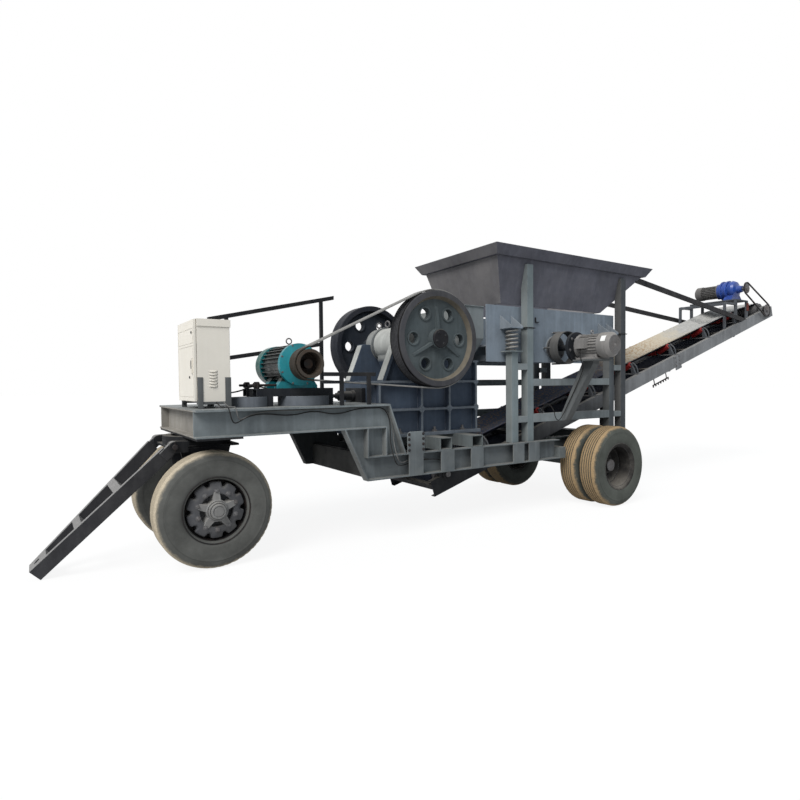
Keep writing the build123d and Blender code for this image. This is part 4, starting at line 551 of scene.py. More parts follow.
def finish_of(kind):
    """The named finish, made on first use and handed out again after that."""
    if kind not in FINISHES:
        p = paint()
        makers = {**frame_finishes(p), **machine_finishes(p), **bare_finishes(p)}
        make, base, settings = makers[kind]
        FINISHES[kind] = make(kind, base, **settings)
    return FINISHES[kind]


def dress(kind, *nodes):
    """Give CAD nodes a finish."""
    for name in nodes:
        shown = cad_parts[name]
        if not shown.material_slots:
            shown.data.materials.append(None)
        for held in shown.material_slots:
            held.material = finish_of(kind)


# Mesh building

SIDES = (("near", -1), ("far", 1))
GRILLE_WIRE = 0.004
EYE_SIDES = 10
EYE_COLLAR = ((0, 0), (2.4, 0), (2.2, 1), (1.1, 2), (1, 3), (0, 3))


def ring_points(centre, axis, radius, count, turn=0.0):
    axis = Vector(axis).normalized()
    side = axis.orthogonal().normalized()
    other = axis.cross(side)
    steps = [turn + 2 * math.pi * i / count for i in range(count)]
    return [Vector(centre) + radius * (side * math.cos(a) + other * math.sin(a)) for a in steps]


def lathe(bm, centre, axis, profile, count=32, turn=0.0, closed=False):
    """Turn a profile of (radius, distance along axis) round an axis."""
    axis = Vector(axis).normalized()
    rows = []
    for radius, reach in profile:
        spot = Vector(centre) + axis * reach
        if radius < 1e-6:
            rows.append([bm.verts.new(spot)])
        else:
            rows.append([bm.verts.new(p) for p in ring_points(spot, axis, radius, count, turn)])
    pairs = list(zip(rows, rows[1:]))
    if closed:
        pairs.append((rows[-1], rows[0]))
    for a, b in pairs:
        for i in range(count):
            j = (i + 1) % count
            if len(a) == 1 and len(b) == 1:
                continue
            if len(a) == 1:
                bm.faces.new((a[0], b[j], b[i]))
            elif len(b) == 1:
                bm.faces.new((a[i], a[j], b[0]))
            else:
                bm.faces.new((a[i], a[j], b[j], b[i]))


def bolt(bm, centre, axis, radius, stud=0.0):
    """Hexagon head on a washer, with a stud end when asked."""
    washer, thick = 1.45 * radius, 0.16 * radius
    lathe(bm, centre, axis, [(0, 0), (washer, 0), (washer, thick), (0, thick)], 16)
    low, high = 0.1 * radius, 0.75 * radius
    head = [(0, low), (radius, low), (radius, high * 0.85), (0.86 * radius, high), (0, high)]
    lathe(bm, centre, axis, head, 6, turn=0.2)
    if stud:
        thread, root, tip = 0.5 * radius, 0.5 * high, high + stud
        lathe(bm, centre, axis, [(0, root), (thread, root), (thread, tip), (0, tip)], 10)


def bolt_circle(bm, centre, side, pitch, count, radius, turn=0.0, stud=0.0):
    """Bolts evenly round a line along Y, all looking to one side."""
    for k in range(count):
        a = turn + 2 * math.pi * k / count
        spot = Vector(centre) + Vector((pitch * math.cos(a), 0, pitch * math.sin(a)))
        bolt(bm, spot, (0, side, 0), radius, stud)


def grille(bm, centre, side, first, step, count, wide, facets):
    """Thin rings about a line along Y, one outside the other."""
    for k in range(count):
        inner, outer = first + step * k, first + step * k + wide
        ring = [(inner, 0), (outer, 0), (outer, GRILLE_WIRE), (inner, GRILLE_WIRE)]
        lathe(bm, centre, (0, side, 0), ring, facets, closed=True)


def loft(bm, rings, closed=False):
    """Skin over rings of points, joined from the last to the first or else with flat ends."""
    pairs = list(zip(rings, rings[1:]))
    if closed:
        pairs.append((rings[-1], rings[0]))
    for a, b in pairs:
        for i in range(len(a)):
            j = (i + 1) % len(a)
            bm.faces.new((a[i], a[j], b[j], b[i]))
    if not closed:
        bm.faces.new(rings[0])
        bm.faces.new(rings[-1])


def slab(bm, low, high, bevel=0.002):
    """Box between two corners with softened edges."""
    low, high = Vector(low), Vector(high)
    made = bmesh.ops.create_cube(bm, size=1.0)["verts"]
    middle, size = (low + high) / 2, high - low
    for v in made:
        v.co = Vector((v.co.x * size.x, v.co.y * size.y, v.co.z * size.z)) + middle
    sides = list({e for v in made for e in v.link_edges})
    if bevel:
        bmesh.ops.bevel(bm, geom=sides, offset=min(bevel, 0.4 * min(size)), segments=2, affect="EDGES")


def bar(bm, start, end, radius, count=12):
    """Round bar between two points."""
    start, end = Vector(start), Vector(end)
    far = (end - start).length
    soft = min(radius * 0.3, far * 0.1)
    thin = radius - soft
    section = [(0, 0), (thin, 0), (radius, soft), (radius, far - soft), (thin, far), (0, far)]
    lathe(bm, start, end - start, section, count)


def eye(bm, centre, normal, ring, wire):
    """Lifting ring standing on a short collar below it."""
    normal = Vector(normal).normalized()
    steps = [2 * math.pi * i / EYE_SIDES for i in range(EYE_SIDES)]
    section = [(ring + wire * math.cos(a), wire * math.sin(a)) for a in steps]
    lathe(bm, centre, normal, section, 28, closed=True)
    foot = Vector(centre) - Vector((0, 0, ring + wire * 3.5))
    lathe(bm, foot, (0, 0, 1), [(wire * r, wire * h) for r, h in EYE_COLLAR], 16)


def piece(name, bm, kind, body, smooth=35.0):
    """Turn a bmesh into a named object that rides on a body, or on none yet."""
    bmesh.ops.recalc_face_normals(bm, faces=bm.faces)
    mesh = bpy.data.meshes.new(name)
    bm.to_mesh(mesh)
    bm.free()
    made = bpy.data.objects.new(name, mesh)
    bpy.context.scene.collection.objects.link(made)
    mesh.materials.append(finish_of(kind))
    mesh.shade_smooth()
    mesh.set_sharp_from_angle(angle=math.radians(smooth))
    if body:
        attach(made, body)
    return made


# Wheels

TREAD_GROOVES = (-0.07, -0.035, 0.0, 0.035, 0.07)
TYRE_WALL = (
    (0.0, 0.1), (0.02, 0.112), (0.05, 0.121), (0.075, 0.125), (0.095, 0.1305), (0.12, 0.1325),
    (0.14, 0.1365), (0.22, 0.1405), (0.33, 0.1435), (0.46, 0.145), (0.58, 0.1445), (0.67, 0.1425),
    (0.685, 0.1435), (0.705, 0.1415), (0.75, 0.1385), (0.82, 0.134), (0.875, 0.127), (0.92, 0.118),
)
WALL_CREASES = (0.12, 0.705)
TYRE_SHOULDER = ((0.955, 0.109), (0.977, 0.1), (0.988, 0.092))
LUG_STEP = 4
LUG_CUT = 0.004
RIM_LIP = 0.027
WHEEL_NUTS = 10
STUD_END = 0.014
REAR_CAP = ((0.06, 0.149), (0.08, 0.15), (0.08, 0.156), (0.066, 0.162), (0, 0.163))


def wall_dirt_and_crease_shade(share):
    """Dirt on a side wall: grows towards the shoulder; below nought in the creases, which the tyre material
    paints dark as shade.
    """
    if share in WALL_CREASES:
        return -0.3
    return max(0.0, (share - 0.72) * 2.6)


def tyre_columns():
    """Tyre section from bead to bead: radius, place across, dirt (below nought for painted crease shade), and
    whether it is a shoulder lug.
    """
    span = TYRE_R - RIM_R
    side = [(RIM_R + share * span, y, wall_dirt_and_crease_shade(share), False) for share, y in TYRE_WALL]
    for k, (share, y) in enumerate(TYRE_SHOULDER):
        side.append((RIM_R + share * span, y, 0.75 + 0.25 * k / 2, True))
    columns = [(radius, -y, dirt, lug) for radius, y, dirt, lug in side]
    for groove in TREAD_GROOVES:
        for offset, low in ((-0.0085, 0), (-0.0055, 1), (0.0055, 1), (0.0085, 0)):
            dirt = 0.05 if low else 1.0
            columns.append((TYRE_R - low * detail().tread_depth, groove + offset, dirt, False))
    return columns + list(reversed(side))


def tyre_mesh(centre):
    """Truck tyre: beaded side walls with raised rings, shoulder lugs and straight tread grooves."""
    count = detail().tyre_segments
    columns = tyre_columns()
    bm = bmesh.new()
    caked_and_crease_shade = bm.verts.layers.float.new("caked_and_crease_shade")
    rows = []
    for i in range(count):
        a = 2 * math.pi * i / count
        row = []
        for radius, y, dirt, lug in columns:
            if lug and i % LUG_STEP == 0:
                radius -= LUG_CUT
            spot = bm.verts.new(Vector(centre) + Vector((radius * math.cos(a), y, radius * math.sin(a))))
            spot[caked_and_crease_shade] = dirt
            row.append(spot)
        rows.append(row)
    last = len(columns)
    for a, b in zip(rows, rows[1:] + rows[:1]):
        for k in range(last):
            j = (k + 1) % last
            bm.faces.new((a[k], b[k], b[j], a[j]))
    return bm


def front_rim(centre, axis):
    """Rim with its lip over the tyre bead, and a back plate, all in shadow behind the hub."""
    bm = bmesh.new()
    lip = RIM_R + RIM_LIP
    rim = [
        (RIM_R, 0.1), (RIM_R, -0.105), (RIM_R - 0.016, -0.105), (RIM_R - 0.02, -0.04),
        (RIM_R - 0.012, 0.04), (lip - 0.012, 0.118), (lip - 0.004, 0.136), (lip, 0.133),
    ]
    lathe(bm, centre, axis, rim, 72, closed=True)
    plate = [(0.06, -0.02), (RIM_R - 0.015, -0.02), (RIM_R - 0.015, -0.03), (0.06, -0.03)]
    lathe(bm, centre, axis, plate, 72, closed=True)
    return bm


def rim_flange(centre, side):
    """Flange of a rear rim, over the outer tyre's bead."""
    bm = bmesh.new()
    section = [
        (RIM_R - 0.014, 0.1), (RIM_R + 0.002, 0.122), (RIM_R + 0.022, 0.136), (RIM_R + 0.032, 0.139),
        (RIM_R + 0.036, 0.134), (RIM_R + 0.02, 0.126), (RIM_R + 0.003, 0.112), (RIM_R - 0.003, 0.1),
    ]
    lathe(bm, centre, (0, side, 0), section, 72, closed=True)
    return bm


def clamp_ring(centre, axis, notches=10, count=160):
    """Conical clamp ring with a scallop in its edge between the nuts."""
    bm = bmesh.new()
    profile = (
        (0.155, 0.0), (0.255, 0.005), (0.264, 0.02), (0.266, 0.078), (0.258, 0.094), (0.236, 0.104),
        (0.206, 0.114), (0.196, 0.118), (0.158, 0.118), (0.15, 0.108),
    )
    rows = []
    for radius, height in profile:
        row = []
        for i in range(count):
            a = 2 * math.pi * i / count
            near = abs((a * notches / (2 * math.pi) + 0.5) % 1 - 0.5)
            cut = min(1.0, max(0.0, 1 - near / 0.2) * 1.8)
            r = radius - 0.04 * cut * max(0.0, (radius - 0.205) / 0.06)
            out = Vector((r * math.cos(a), 0, r * math.sin(a)))
            row.append(bm.verts.new(Vector(centre) + axis * height + out))
        rows.append(row)
    loft(bm, rows, closed=True)
    lathe(bm, centre, axis, [(0, 0.05), (0.154, 0.05), (0.154, 0.04), (0, 0.04)], 40)
    return bm


ARM_STATIONS = ((0.05, 0.062, 0.045, 0.152), (0.105, 0.05, 0.045, 0.14), (0.172, 0.04, 0.06, 0.126))


def star_arm(bm, centre, axis, a):
    """Tapered arm from the hub to the clamp ring."""
    out = Vector((math.cos(a), 0, math.sin(a)))
    cross = Vector((-math.sin(a), 0, math.cos(a)))
    rings = []
    for radius, wide, low, high in ARM_STATIONS:
        base = Vector(centre) + out * radius
        corners = ((-wide, low), (wide, low), (0.62 * wide, high), (-0.62 * wide, high))
        rings.append([bm.verts.new(base + cross * w + axis * h) for w, h in corners])
    loft(bm, rings)


def hub_star(centre, axis):
    """Five arms and a turned cap."""
    bm = bmesh.new()
    for k in range(5):
        star_arm(bm, centre, axis, 2 * math.pi * k / 5 + math.pi / 2)
    cap = [
        (0, 0.04), (0.104, 0.045), (0.101, 0.14), (0.096, 0.148), (0.092, 0.148), (0.091, 0.143),
        (0.087, 0.143), (0.086, 0.17), (0.081, 0.175), (0.076, 0.175), (0.075, 0.169),
        (0.071, 0.169), (0.07, 0.19), (0.064, 0.196), (0.052, 0.197), (0.05, 0.19), (0.046, 0.19),
        (0.044, 0.196), (0, 0.198),
    ]
    lathe(bm, centre, axis, cap, 40)
    return bm


def wheel_nuts(name, centre, side, pitch, along_axle, body):
    """Ring of nuts on the face of a wheel."""
    bm = bmesh.new()
    face = Vector(centre) + Vector((0, side * along_axle, 0))
    half_step = math.pi / WHEEL_NUTS
    bolt_circle(bm, face, side, pitch, WHEEL_NUTS, detail().stud_radius, half_step, STUD_END)
    piece(name, bm, "dull_steel", body)


class PLANT_OT_front_wheels(bpy.types.Operator):
    """Front tyres with worn tread, rims, clamp rings and star hubs with their nuts"""

    bl_idname = "plant.front_wheels"
    bl_label = "Front wheels"

    def execute(self, context):
        for end, side in SIDES:
            body = f"front_wheel_{end}_body"
            centre = centre_of(f"front_tyre_{end}")
            axis = Vector((0, side, 0))
            tyre = piece(f"front_tyre_{end}_rubber", tyre_mesh(centre), "front_tyre", body, 40)
            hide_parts(f"front_tyre_{end}")
            rim = piece(f"front_rim_{end}", front_rim(centre, axis), "black_steel", body, 30)
            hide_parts(f"front_wheel_{end}")
            piece(f"front_clamp_ring_{end}", clamp_ring(centre, axis), "wheel_iron", body, 30)
            piece(f"front_star_{end}", hub_star(centre, axis), "star_iron", body, 30)
            wheel_nuts(f"front_nuts_{end}", centre, side, 0.178, 0.118, body)
        return {"FINISHED"}


class PLANT_OT_rear_wheels(bpy.types.Operator):
    """Rear dual tyres, rim flanges, dished wheels, hub nuts and caps"""

    bl_idname = "plant.rear_wheels"
    bl_label = "Rear wheels"

    def execute(self, context):
        for end, side in SIDES:
            body = f"rear_wheel_{end}_body"
            low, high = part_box(f"rear_tyres_{end}")
            middle = (low + high) / 2
            stand_in = None
            for label, y in (("low", low.y + TYRE_W / 2), ("high", high.y - TYRE_W / 2)):
                centre = Vector((middle.x, y, middle.z))
                tyre = piece(f"rear_tyre_{end}_{label}", tyre_mesh(centre), "rear_tyre", body, 40)
                stand_in = stand_in or tyre
                if (y - middle.y) * side > 0:
                    flange = rim_flange(centre, side)
                    piece(f"rear_flange_{end}", flange, "rear_iron", body, 30)
            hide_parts(f"rear_tyres_{end}")
            wheel_nuts(f"rear_nuts_{end}", middle, side, 0.135, 0.014, body)
            bm = bmesh.new()
            lathe(bm, middle, (0, side, 0), REAR_CAP, 32)
            bolt_circle(bm, middle + Vector((0, side * 0.155, 0)), side, 0.068, 6, 0.007)
            piece(f"rear_hub_cap_{end}", bm, "dull_steel", body)
        dress("rear_iron", "rear_wheel_near", "rear_wheel_far")
        dress("rear_paint", "rear_axle")
        return {"FINISHED"}


# Frame

UPRIGHT_BOLT_X = (2.06, 2.25)
UPRIGHT_BOLT_Z = (0.96, 1.02, 1.08, 1.135)
UPRIGHT_FACE = 0.845
DRAWBAR_PIN = (-0.31, 0.485, 1.13)
PIN_HEAD = ((0, 0), (0.026, 0), (0.026, 0.01), (0.022, 0.014), (0, 0.014))
COTTER_HALF = 0.045
COTTER_R = 0.004


class PLANT_OT_frame(bpy.types.Operator):
    """Frame paint, plate bolts and drawbar fittings"""

    bl_idname = "plant.frame"
    bl_label = "Frame and drawbar"

    def execute(self, context):
        dress("frame_paint", "side_frame_near", "deck_plate")
        dress("inner_paint", "side_frame_far", "cross_members")
        dress("rear_paint", "rear_subframe", "crusher_bearers")
        dress("dolly_paint", "dolly_frame", "turntable")
        dress("drawbar_paint", "drawbar")
        for end, side in SIDES:
            bm = bmesh.new()
            for x in UPRIGHT_BOLT_X:
                for z in UPRIGHT_BOLT_Z:
                    bolt(bm, at(x, side * UPRIGHT_FACE, z), (0, side, 0), detail().bolt_radius)
            piece(f"upright_bolts_{end}", bm, "black_steel", "chassis")
            bm = bmesh.new()
            pin = at(DRAWBAR_PIN[0], side * DRAWBAR_PIN[1], DRAWBAR_PIN[2])
            lathe(bm, pin, (0, side, 0), PIN_HEAD, 24)
            behind = pin - Vector((0, side * COTTER_R, 0))
            reach = Vector((0, 0, COTTER_HALF))
            bar(bm, behind - reach, behind + reach, COTTER_R, 8)
            piece(f"drawbar_pin_head_{end}", bm, "black_steel", "dolly")
        return {"FINISHED"}


# Crusher

REAR_BAR_FOOT = (1.959, 1.74)
REAR_BAR_LENGTH = 0.49
REAR_BAR_Y = (0.345, 0.462)
REAR_BAR_SKIN = 0.004
FOUNDATION_X = (2.2, 2.71, 3.15)
FOUNDATION_Y = 0.44
FOUNDATION_Z = 1.11
SHAFT_COVER_Y = 0.858
SHAFT_COVER = ((0, 0), (0.106, 0), (0.106, 0.016), (0.098, 0.024), (0.03, 0.025), (0, 0.025))
BARREL_FLANGE_Y = 0.275
BARREL_FLANGE = ((0.205, 0), (0.226, 0.004), (0.228, 0.03), (0.22, 0.036), (0.205, 0.036))
BARREL_EYE_Z = 2.463
RIB_X = (2.5, 2.92, 3.352)
RIB_Z = (1.388, 1.718)
RIB_HALF = 0.013
RIB_FACE = 0.48
RIB_CORNER = 0.028
RIB_CORNER_DEPTH = 0.03


def rib_corner(bm, x, z, right, up, side):
    """Small gusset in one corner where two ribs of the crusher's side cross."""
    x, z = x + right * RIB_HALF, z + up * RIB_HALF
    corners = ((x, z), (x + right * RIB_CORNER, z), (x, z + up * RIB_CORNER))
    faces = (RIB_FACE, RIB_FACE - RIB_CORNER_DEPTH)
    loft(bm, [[bm.verts.new(at(cx, side * y, cz)) for cx, cz in corners] for y in faces])


def rear_bar_skin(bm, side):
    """Thin pale skin on the sloped bar behind the bearing."""
    slope = Vector((0.2, 0, 0.487)).normalized()
    out = Vector((-slope.z, 0, slope.x))
    start = at(REAR_BAR_FOOT[0], 0, REAR_BAR_FOOT[1])
    inner, outer = REAR_BAR_Y
    rings = []
    for lift in (0.0, REAR_BAR_SKIN):
        ring = []
        for step, y in ((0, inner), (REAR_BAR_LENGTH, inner), (REAR_BAR_LENGTH, outer), (0, outer)):
            spot = start + slope * step + out * lift
            ring.append(bm.verts.new(Vector((spot.x, AXLE.y + side * y, spot.z))))
        rings.append(ring)
    loft(bm, rings)


class PLANT_OT_crusher(bpy.types.Operator):
    """Crusher paint, foundation bolts, rib corners, pale rear bars, shaft covers, flanges and eyes"""

    bl_idname = "plant.crusher"
    bl_label = "Crusher"

    def execute(self, context):
        dress("crusher_paint", "crusher_wall_near", "crusher_wall_far", "crusher_end_walls")
        dress("jaw_primer", "swing_jaw")
        dress("flywheel_paint", "flywheel_near")
        dress("far_flywheel_paint", "flywheel_far")
        dress("dull_steel", "eccentric_shaft")
        dress("black_paint", "toggle_adjuster")
        for end, side in SIDES:
            bm = bmesh.new()
            for x in FOUNDATION_X:
                bolt(bm, at(x, side * FOUNDATION_Y, FOUNDATION_Z), (0, 0, 1), 0.03, stud=0.035)
            piece(f"foundation_bolts_{end}", bm, "dull_steel", "chassis")
            bm = bmesh.new()
            for x in RIB_X:
                for z, up in ((RIB_Z[0], 1), (RIB_Z[0], -1), (RIB_Z[1], -1)):
                    rib_corner(bm, x, z, -1, up, side)
                    rib_corner(bm, x, z, 1, up, side)
            piece(f"rib_corners_{end}", bm, "crusher_paint", "chassis")
            bm = bmesh.new()
            rear_bar_skin(bm, side)
            piece(f"pale_rear_bar_{end}", bm, "pale_primer", "chassis")
            bm = bmesh.new()
            hub = at(SHAFT[0], side * SHAFT_COVER_Y, SHAFT[1])
            lathe(bm, hub, (0, side, 0), SHAFT_COVER, 40)
            bolt_circle(bm, hub + Vector((0, side * 0.024, 0)), side, 0.07, 4, 0.012, turn=0.5)
            piece(f"shaft_cover_{end}", bm, "black_paint", "crusher_rotor")
            bm = bmesh.new()
            collar = at(SHAFT[0], side * BARREL_FLANGE_Y, SHAFT[1])
            lathe(bm, collar, (0, side, 0), BARREL_FLANGE, 56, closed=True)
            piece(f"barrel_flange_{end}", bm, "flange_paint", "chassis")
        bm = bmesh.new()
        for y in (0.19, -0.19):
            eye(bm, at(SHAFT[0] - 0.05, y, BARREL_EYE_Z), (1, 0.3, 0), 0.036, 0.011)
        for y in (-0.4, 0.4):
            eye(bm, at(SHAFT[0] - 0.05, y, BARREL_EYE_Z), (0.3, 1, 0), 0.03, 0.01)
        piece("barrel_eyes", bm, "dull_steel", "chassis")
        return {"FINISHED"}


# Main drive

MOTOR_FEET_X = (0.72, 1.09)
MOTOR_FEET_Z = 1.688
SLIDE_Y = (-0.45, -0.14)
SCREW_X = (0.4, 0.69)
SCREW_Z = 1.695
SCREW_NUTS_X = (0.462, 0.505)


class PLANT_OT_main_drive(bpy.types.Operator):
    """Main motor enamel, eyebolt, bolts, cowl grille, pulley, belts and tension screws"""

    bl_idname = "plant.main_drive"
    bl_label = "Main drive"

    def execute(self, context):
        dress("teal_enamel", "main_motor")
        dress("rusty_iron", "motor_pulley")
        dress("drive_belt", "v_belts")
        dress("slide_paint", "motor_slide_base")
        dress("drum_paint", "deck_drums")
        bm = bmesh.new()
        eye(bm, at(MOTOR[0], -0.27, 2.162), (0, 1, 0), 0.03, 0.007)
        piece("motor_eye", bm, "dull_steel", "chassis")
        bm = bmesh.new()
        bolt_circle(bm, at(MOTOR[0], -0.555, MOTOR[1]), -1, 0.204, 8, 0.011, turn=math.pi / 8)
        for y in SLIDE_Y:
            for x in MOTOR_FEET_X:
                bolt(bm, at(x, y, MOTOR_FEET_Z), (0, 0, 1), 0.017, stud=0.015)
        piece("motor_bolts", bm, "dull_steel", "chassis")
        bm = bmesh.new()
        for y in SLIDE_Y:
            bar(bm, at(SCREW_X[0], y, SCREW_Z), at(SCREW_X[1], y, SCREW_Z), 0.013, 12)
            slab(bm, at(0.47, y - 0.04, SCREW_Z - 0.035), at(0.49, y + 0.04, SCREW_Z + 0.035))
            for x in SCREW_NUTS_X:
                bolt(bm, at(x, y, SCREW_Z), (-1, 0, 0), 0.024)
        piece("tension_screws", bm, "black_steel", "chassis")
        bm = bmesh.new()
        grille(bm, at(MOTOR[0], 0.215, MOTOR[1]), 1, 0.035, 0.017, 9, 0.006, 40)
        piece("cowl_grille", bm, "dark_fins", "chassis")
        return {"FINISHED"}


# Cabinet and guards

LOUVRES = 6
LOUVRE_LOW = (-0.01, 1.685)
LOUVRE_STEP = 0.028
LOUVRE_LENGTH = 0.072
DOOR_FACE = 0.027
DOOR_EDGE = 0.03
DOOR_PANELS = ((0.06, 0.68), (0.71, 0.89))
KNOB = ((0, 0), (0.012, 0), (0.012, 0.006), (0.008, 0.008), (0, 0.008))


def louvre_hood(bm, face_y, z):
    """Pressed hood over one louvre slot, open along its lower edge."""
    left = at(LOUVRE_LOW[0] - 0.004, 0, 0).x
    right = left + LOUVRE_LENGTH + 0.008
    rows = []
    for k in range(9):
        x = left + (right - left) * k / 8
        bulge = 0.011 * math.sin(math.pi * k / 8) ** 0.6
        rows.append([
            bm.verts.new((x, face_y, z + 0.013)),
            bm.verts.new((x, face_y - bulge * 0.7, z + 0.008)),
            bm.verts.new((x, face_y - bulge, z)),
            bm.verts.new((x, face_y - bulge + 0.001, z - 0.001)),
            bm.verts.new((x, face_y, z + 0.01)),
        ])
    for a, b in zip(rows, rows[1:]):
        for j in range(4):
            bm.faces.new((a[j], b[j], b[j + 1], a[j + 1]))


def door_gasket(bm):
    """Strip round the cabinet's mouth that closes the gap behind the door."""
    low = at(*CABINET_LOW) + Vector((-0.0045, 0.006, 0.008))
    high = at(*CABINET_LOW) + Vector((-0.0003, CABINET_SIZE[1] - 0.008, CABINET_SIZE[2] - 0.008))
    wide = 0.012
    slab(bm, low, (high.x, high.y, low.z + wide), 0.001)
    slab(bm, (low.x, low.y, high.z - wide), high, 0.001)
    slab(bm, low, (high.x, low.y + wide, high.z), 0.001)
    slab(bm, (low.x, high.y - wide, low.z), high, 0.001)


def door_panel(bm, face_x, y0, y1, z0, z1):
    """Raised seam round a panel of the door."""
    wide = 0.004
    strips = (
        ((y0, z0), (y1, z0 + wide)), ((y0, z1 - wide), (y1, z1)),
        ((y0, z0), (y0 + wide, z1)), ((y1 - wide, z0), (y1, z1)),
    )
    for a, b in strips:
        slab(bm, (face_x - 0.002, a[0], a[1]), (face_x + 0.001, b[0], b[1]), 0.0008)


class PLANT_OT_cabinet(bpy.types.Operator):
    """Cream cabinet with louvre hoods, door seal, seams, knobs, handle and corner posts"""

    bl_idname = "plant.cabinet"
    bl_label = "Cabinet"

    def execute(self, context):
        dress("cabinet_coat", "cabinet_body", "cabinet_door")
        dress("stand_paint", "cabinet_posts")
        bm = bmesh.new()
        for i in range(LOUVRES):
            louvre_hood(bm, at(0, CABINET_LOW[1], 0).y, LOUVRE_LOW[1] + i * LOUVRE_STEP)
        piece("louvre_hoods", bm, "cabinet_coat", "chassis", 60)
        bm = bmesh.new()
        door_gasket(bm)
        piece("door_gasket", bm, "cabinet_coat", "chassis")
        face_x = at(CABINET_LOW[0] - DOOR_FACE, 0, 0).x
        y0 = at(0, CABINET_LOW[1] + DOOR_EDGE, 0).y
        y1 = y0 + CABINET_SIZE[1] - 2 * DOOR_EDGE
        base, tall = CABINET_LOW[2], CABINET_SIZE[2]
        bm = bmesh.new()
        for low, high in DOOR_PANELS:
            door_panel(bm, face_x, y0, y1, base + low * tall, base + high * tall)
        piece("door_seams", bm, "cabinet_coat", "door")
        bm = bmesh.new()
        for inset, share in ((0.05, 0.84), (0.14, 0.3)):
            lathe(bm, (face_x, y0 + inset, base + share * tall), (-1, 0, 0), KNOB, 20)
        handle_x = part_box("cabinet_door")[0].x
        handle_low = (handle_x - 0.004, y0 + 0.018, base + 0.4 * tall)
        slab(bm, handle_low, (handle_x, y0 + 0.032, base + 0.5 * tall), 0.003)
        piece("door_lock", bm, "black_paint", "door")
        return {"FINISHED"}


class PLANT_OT_guards(bpy.types.Operator):
    """Black hand rail and belt guard"""

    bl_idname = "plant.guards"
    bl_label = "Guards"

    def execute(self, context):
        dress("black_paint", "guard_rails")
        return {"FINISHED"}


# Hopper and feeder

CLIP_X = (4.02, 5.975)
CLIP_HALF = 0.085
SPRING_R = 0.084
SPRING_WIRE = 0.0125
SPRING_TURNS = 5
EXCITER_BOLT_Y = 0.66
COUPLING_FACE = -1.02
FEEDER_COWL = -1.59
FEEDER_FEET_X = (4.53, 4.77)
FEEDER_FEET_Y = (-1.37, -1.16)
FEEDER_FEET_Z = 2.007
FEEDER_PLATE = (math.radians(138), math.radians(166))


class PLANT_OT_hopper(bpy.types.Operator):
    """Hopper paint, posts and clip plates"""

    bl_idname = "plant.hopper"
    bl_label = "Hopper"

    def execute(self, context):
        dress("hopper_paint", "hopper_shell", "hopper_rim")
        dress("post_paint", "hopper_posts", "spring_posts")
        dress("frame_paint", "support_rails")
        bm = bmesh.new()
        for x in CLIP_X:
            for side in (-1, 1):
                corner = [at(x - CLIP_HALF, side * 0.66, 2.4), at(x + CLIP_HALF, side * 0.79, 2.412)]
                low = Vector(map(min, *corner))
                high = Vector(map(max, *corner))
                slab(bm, low, high)
        piece("post_clips", bm, "black_paint", "chassis")
        return {"FINISHED"}


def coil_spring(bm, foot, height, steps=32, sides=10):
    """Coil of round wire between a post's cap plate and a tray bracket."""
    middle = SPRING_R - SPRING_WIRE
    rings = []
    for k in range(SPRING_TURNS * steps + 1):
        a = 2 * math.pi * k / steps
        out = Vector((math.cos(a), math.sin(a), 0))
        rise = SPRING_WIRE + (height - 2 * SPRING_WIRE) * k / (SPRING_TURNS * steps)
        spot = foot + out * middle + Vector((0, 0, rise))
        ring = []
        for i in range(sides):
            b = 2 * math.pi * i / sides
            ring.append(bm.verts.new(spot + SPRING_WIRE * (out * math.cos(b) + Vector((0, 0, math.sin(b))))))
        rings.append(ring)
    loft(bm, rings)


def curved_plate(bm, centre, radius, span, width, steps=6):
    """Blank plate bent round a motor body."""
    rows = []
    for k in range(steps + 1):
        a = span[0] + (span[1] - span[0]) * k / steps
        out = Vector((math.cos(a), 0, math.sin(a)))
        corners = ((radius, -0.5), (radius, 0.5), (radius + 0.001, 0.5), (radius + 0.001, -0.5))
        rows.append([bm.verts.new(Vector(centre) + out * r + Vector((0, w * width, 0))) for r, w in corners])
    loft(bm, rows)


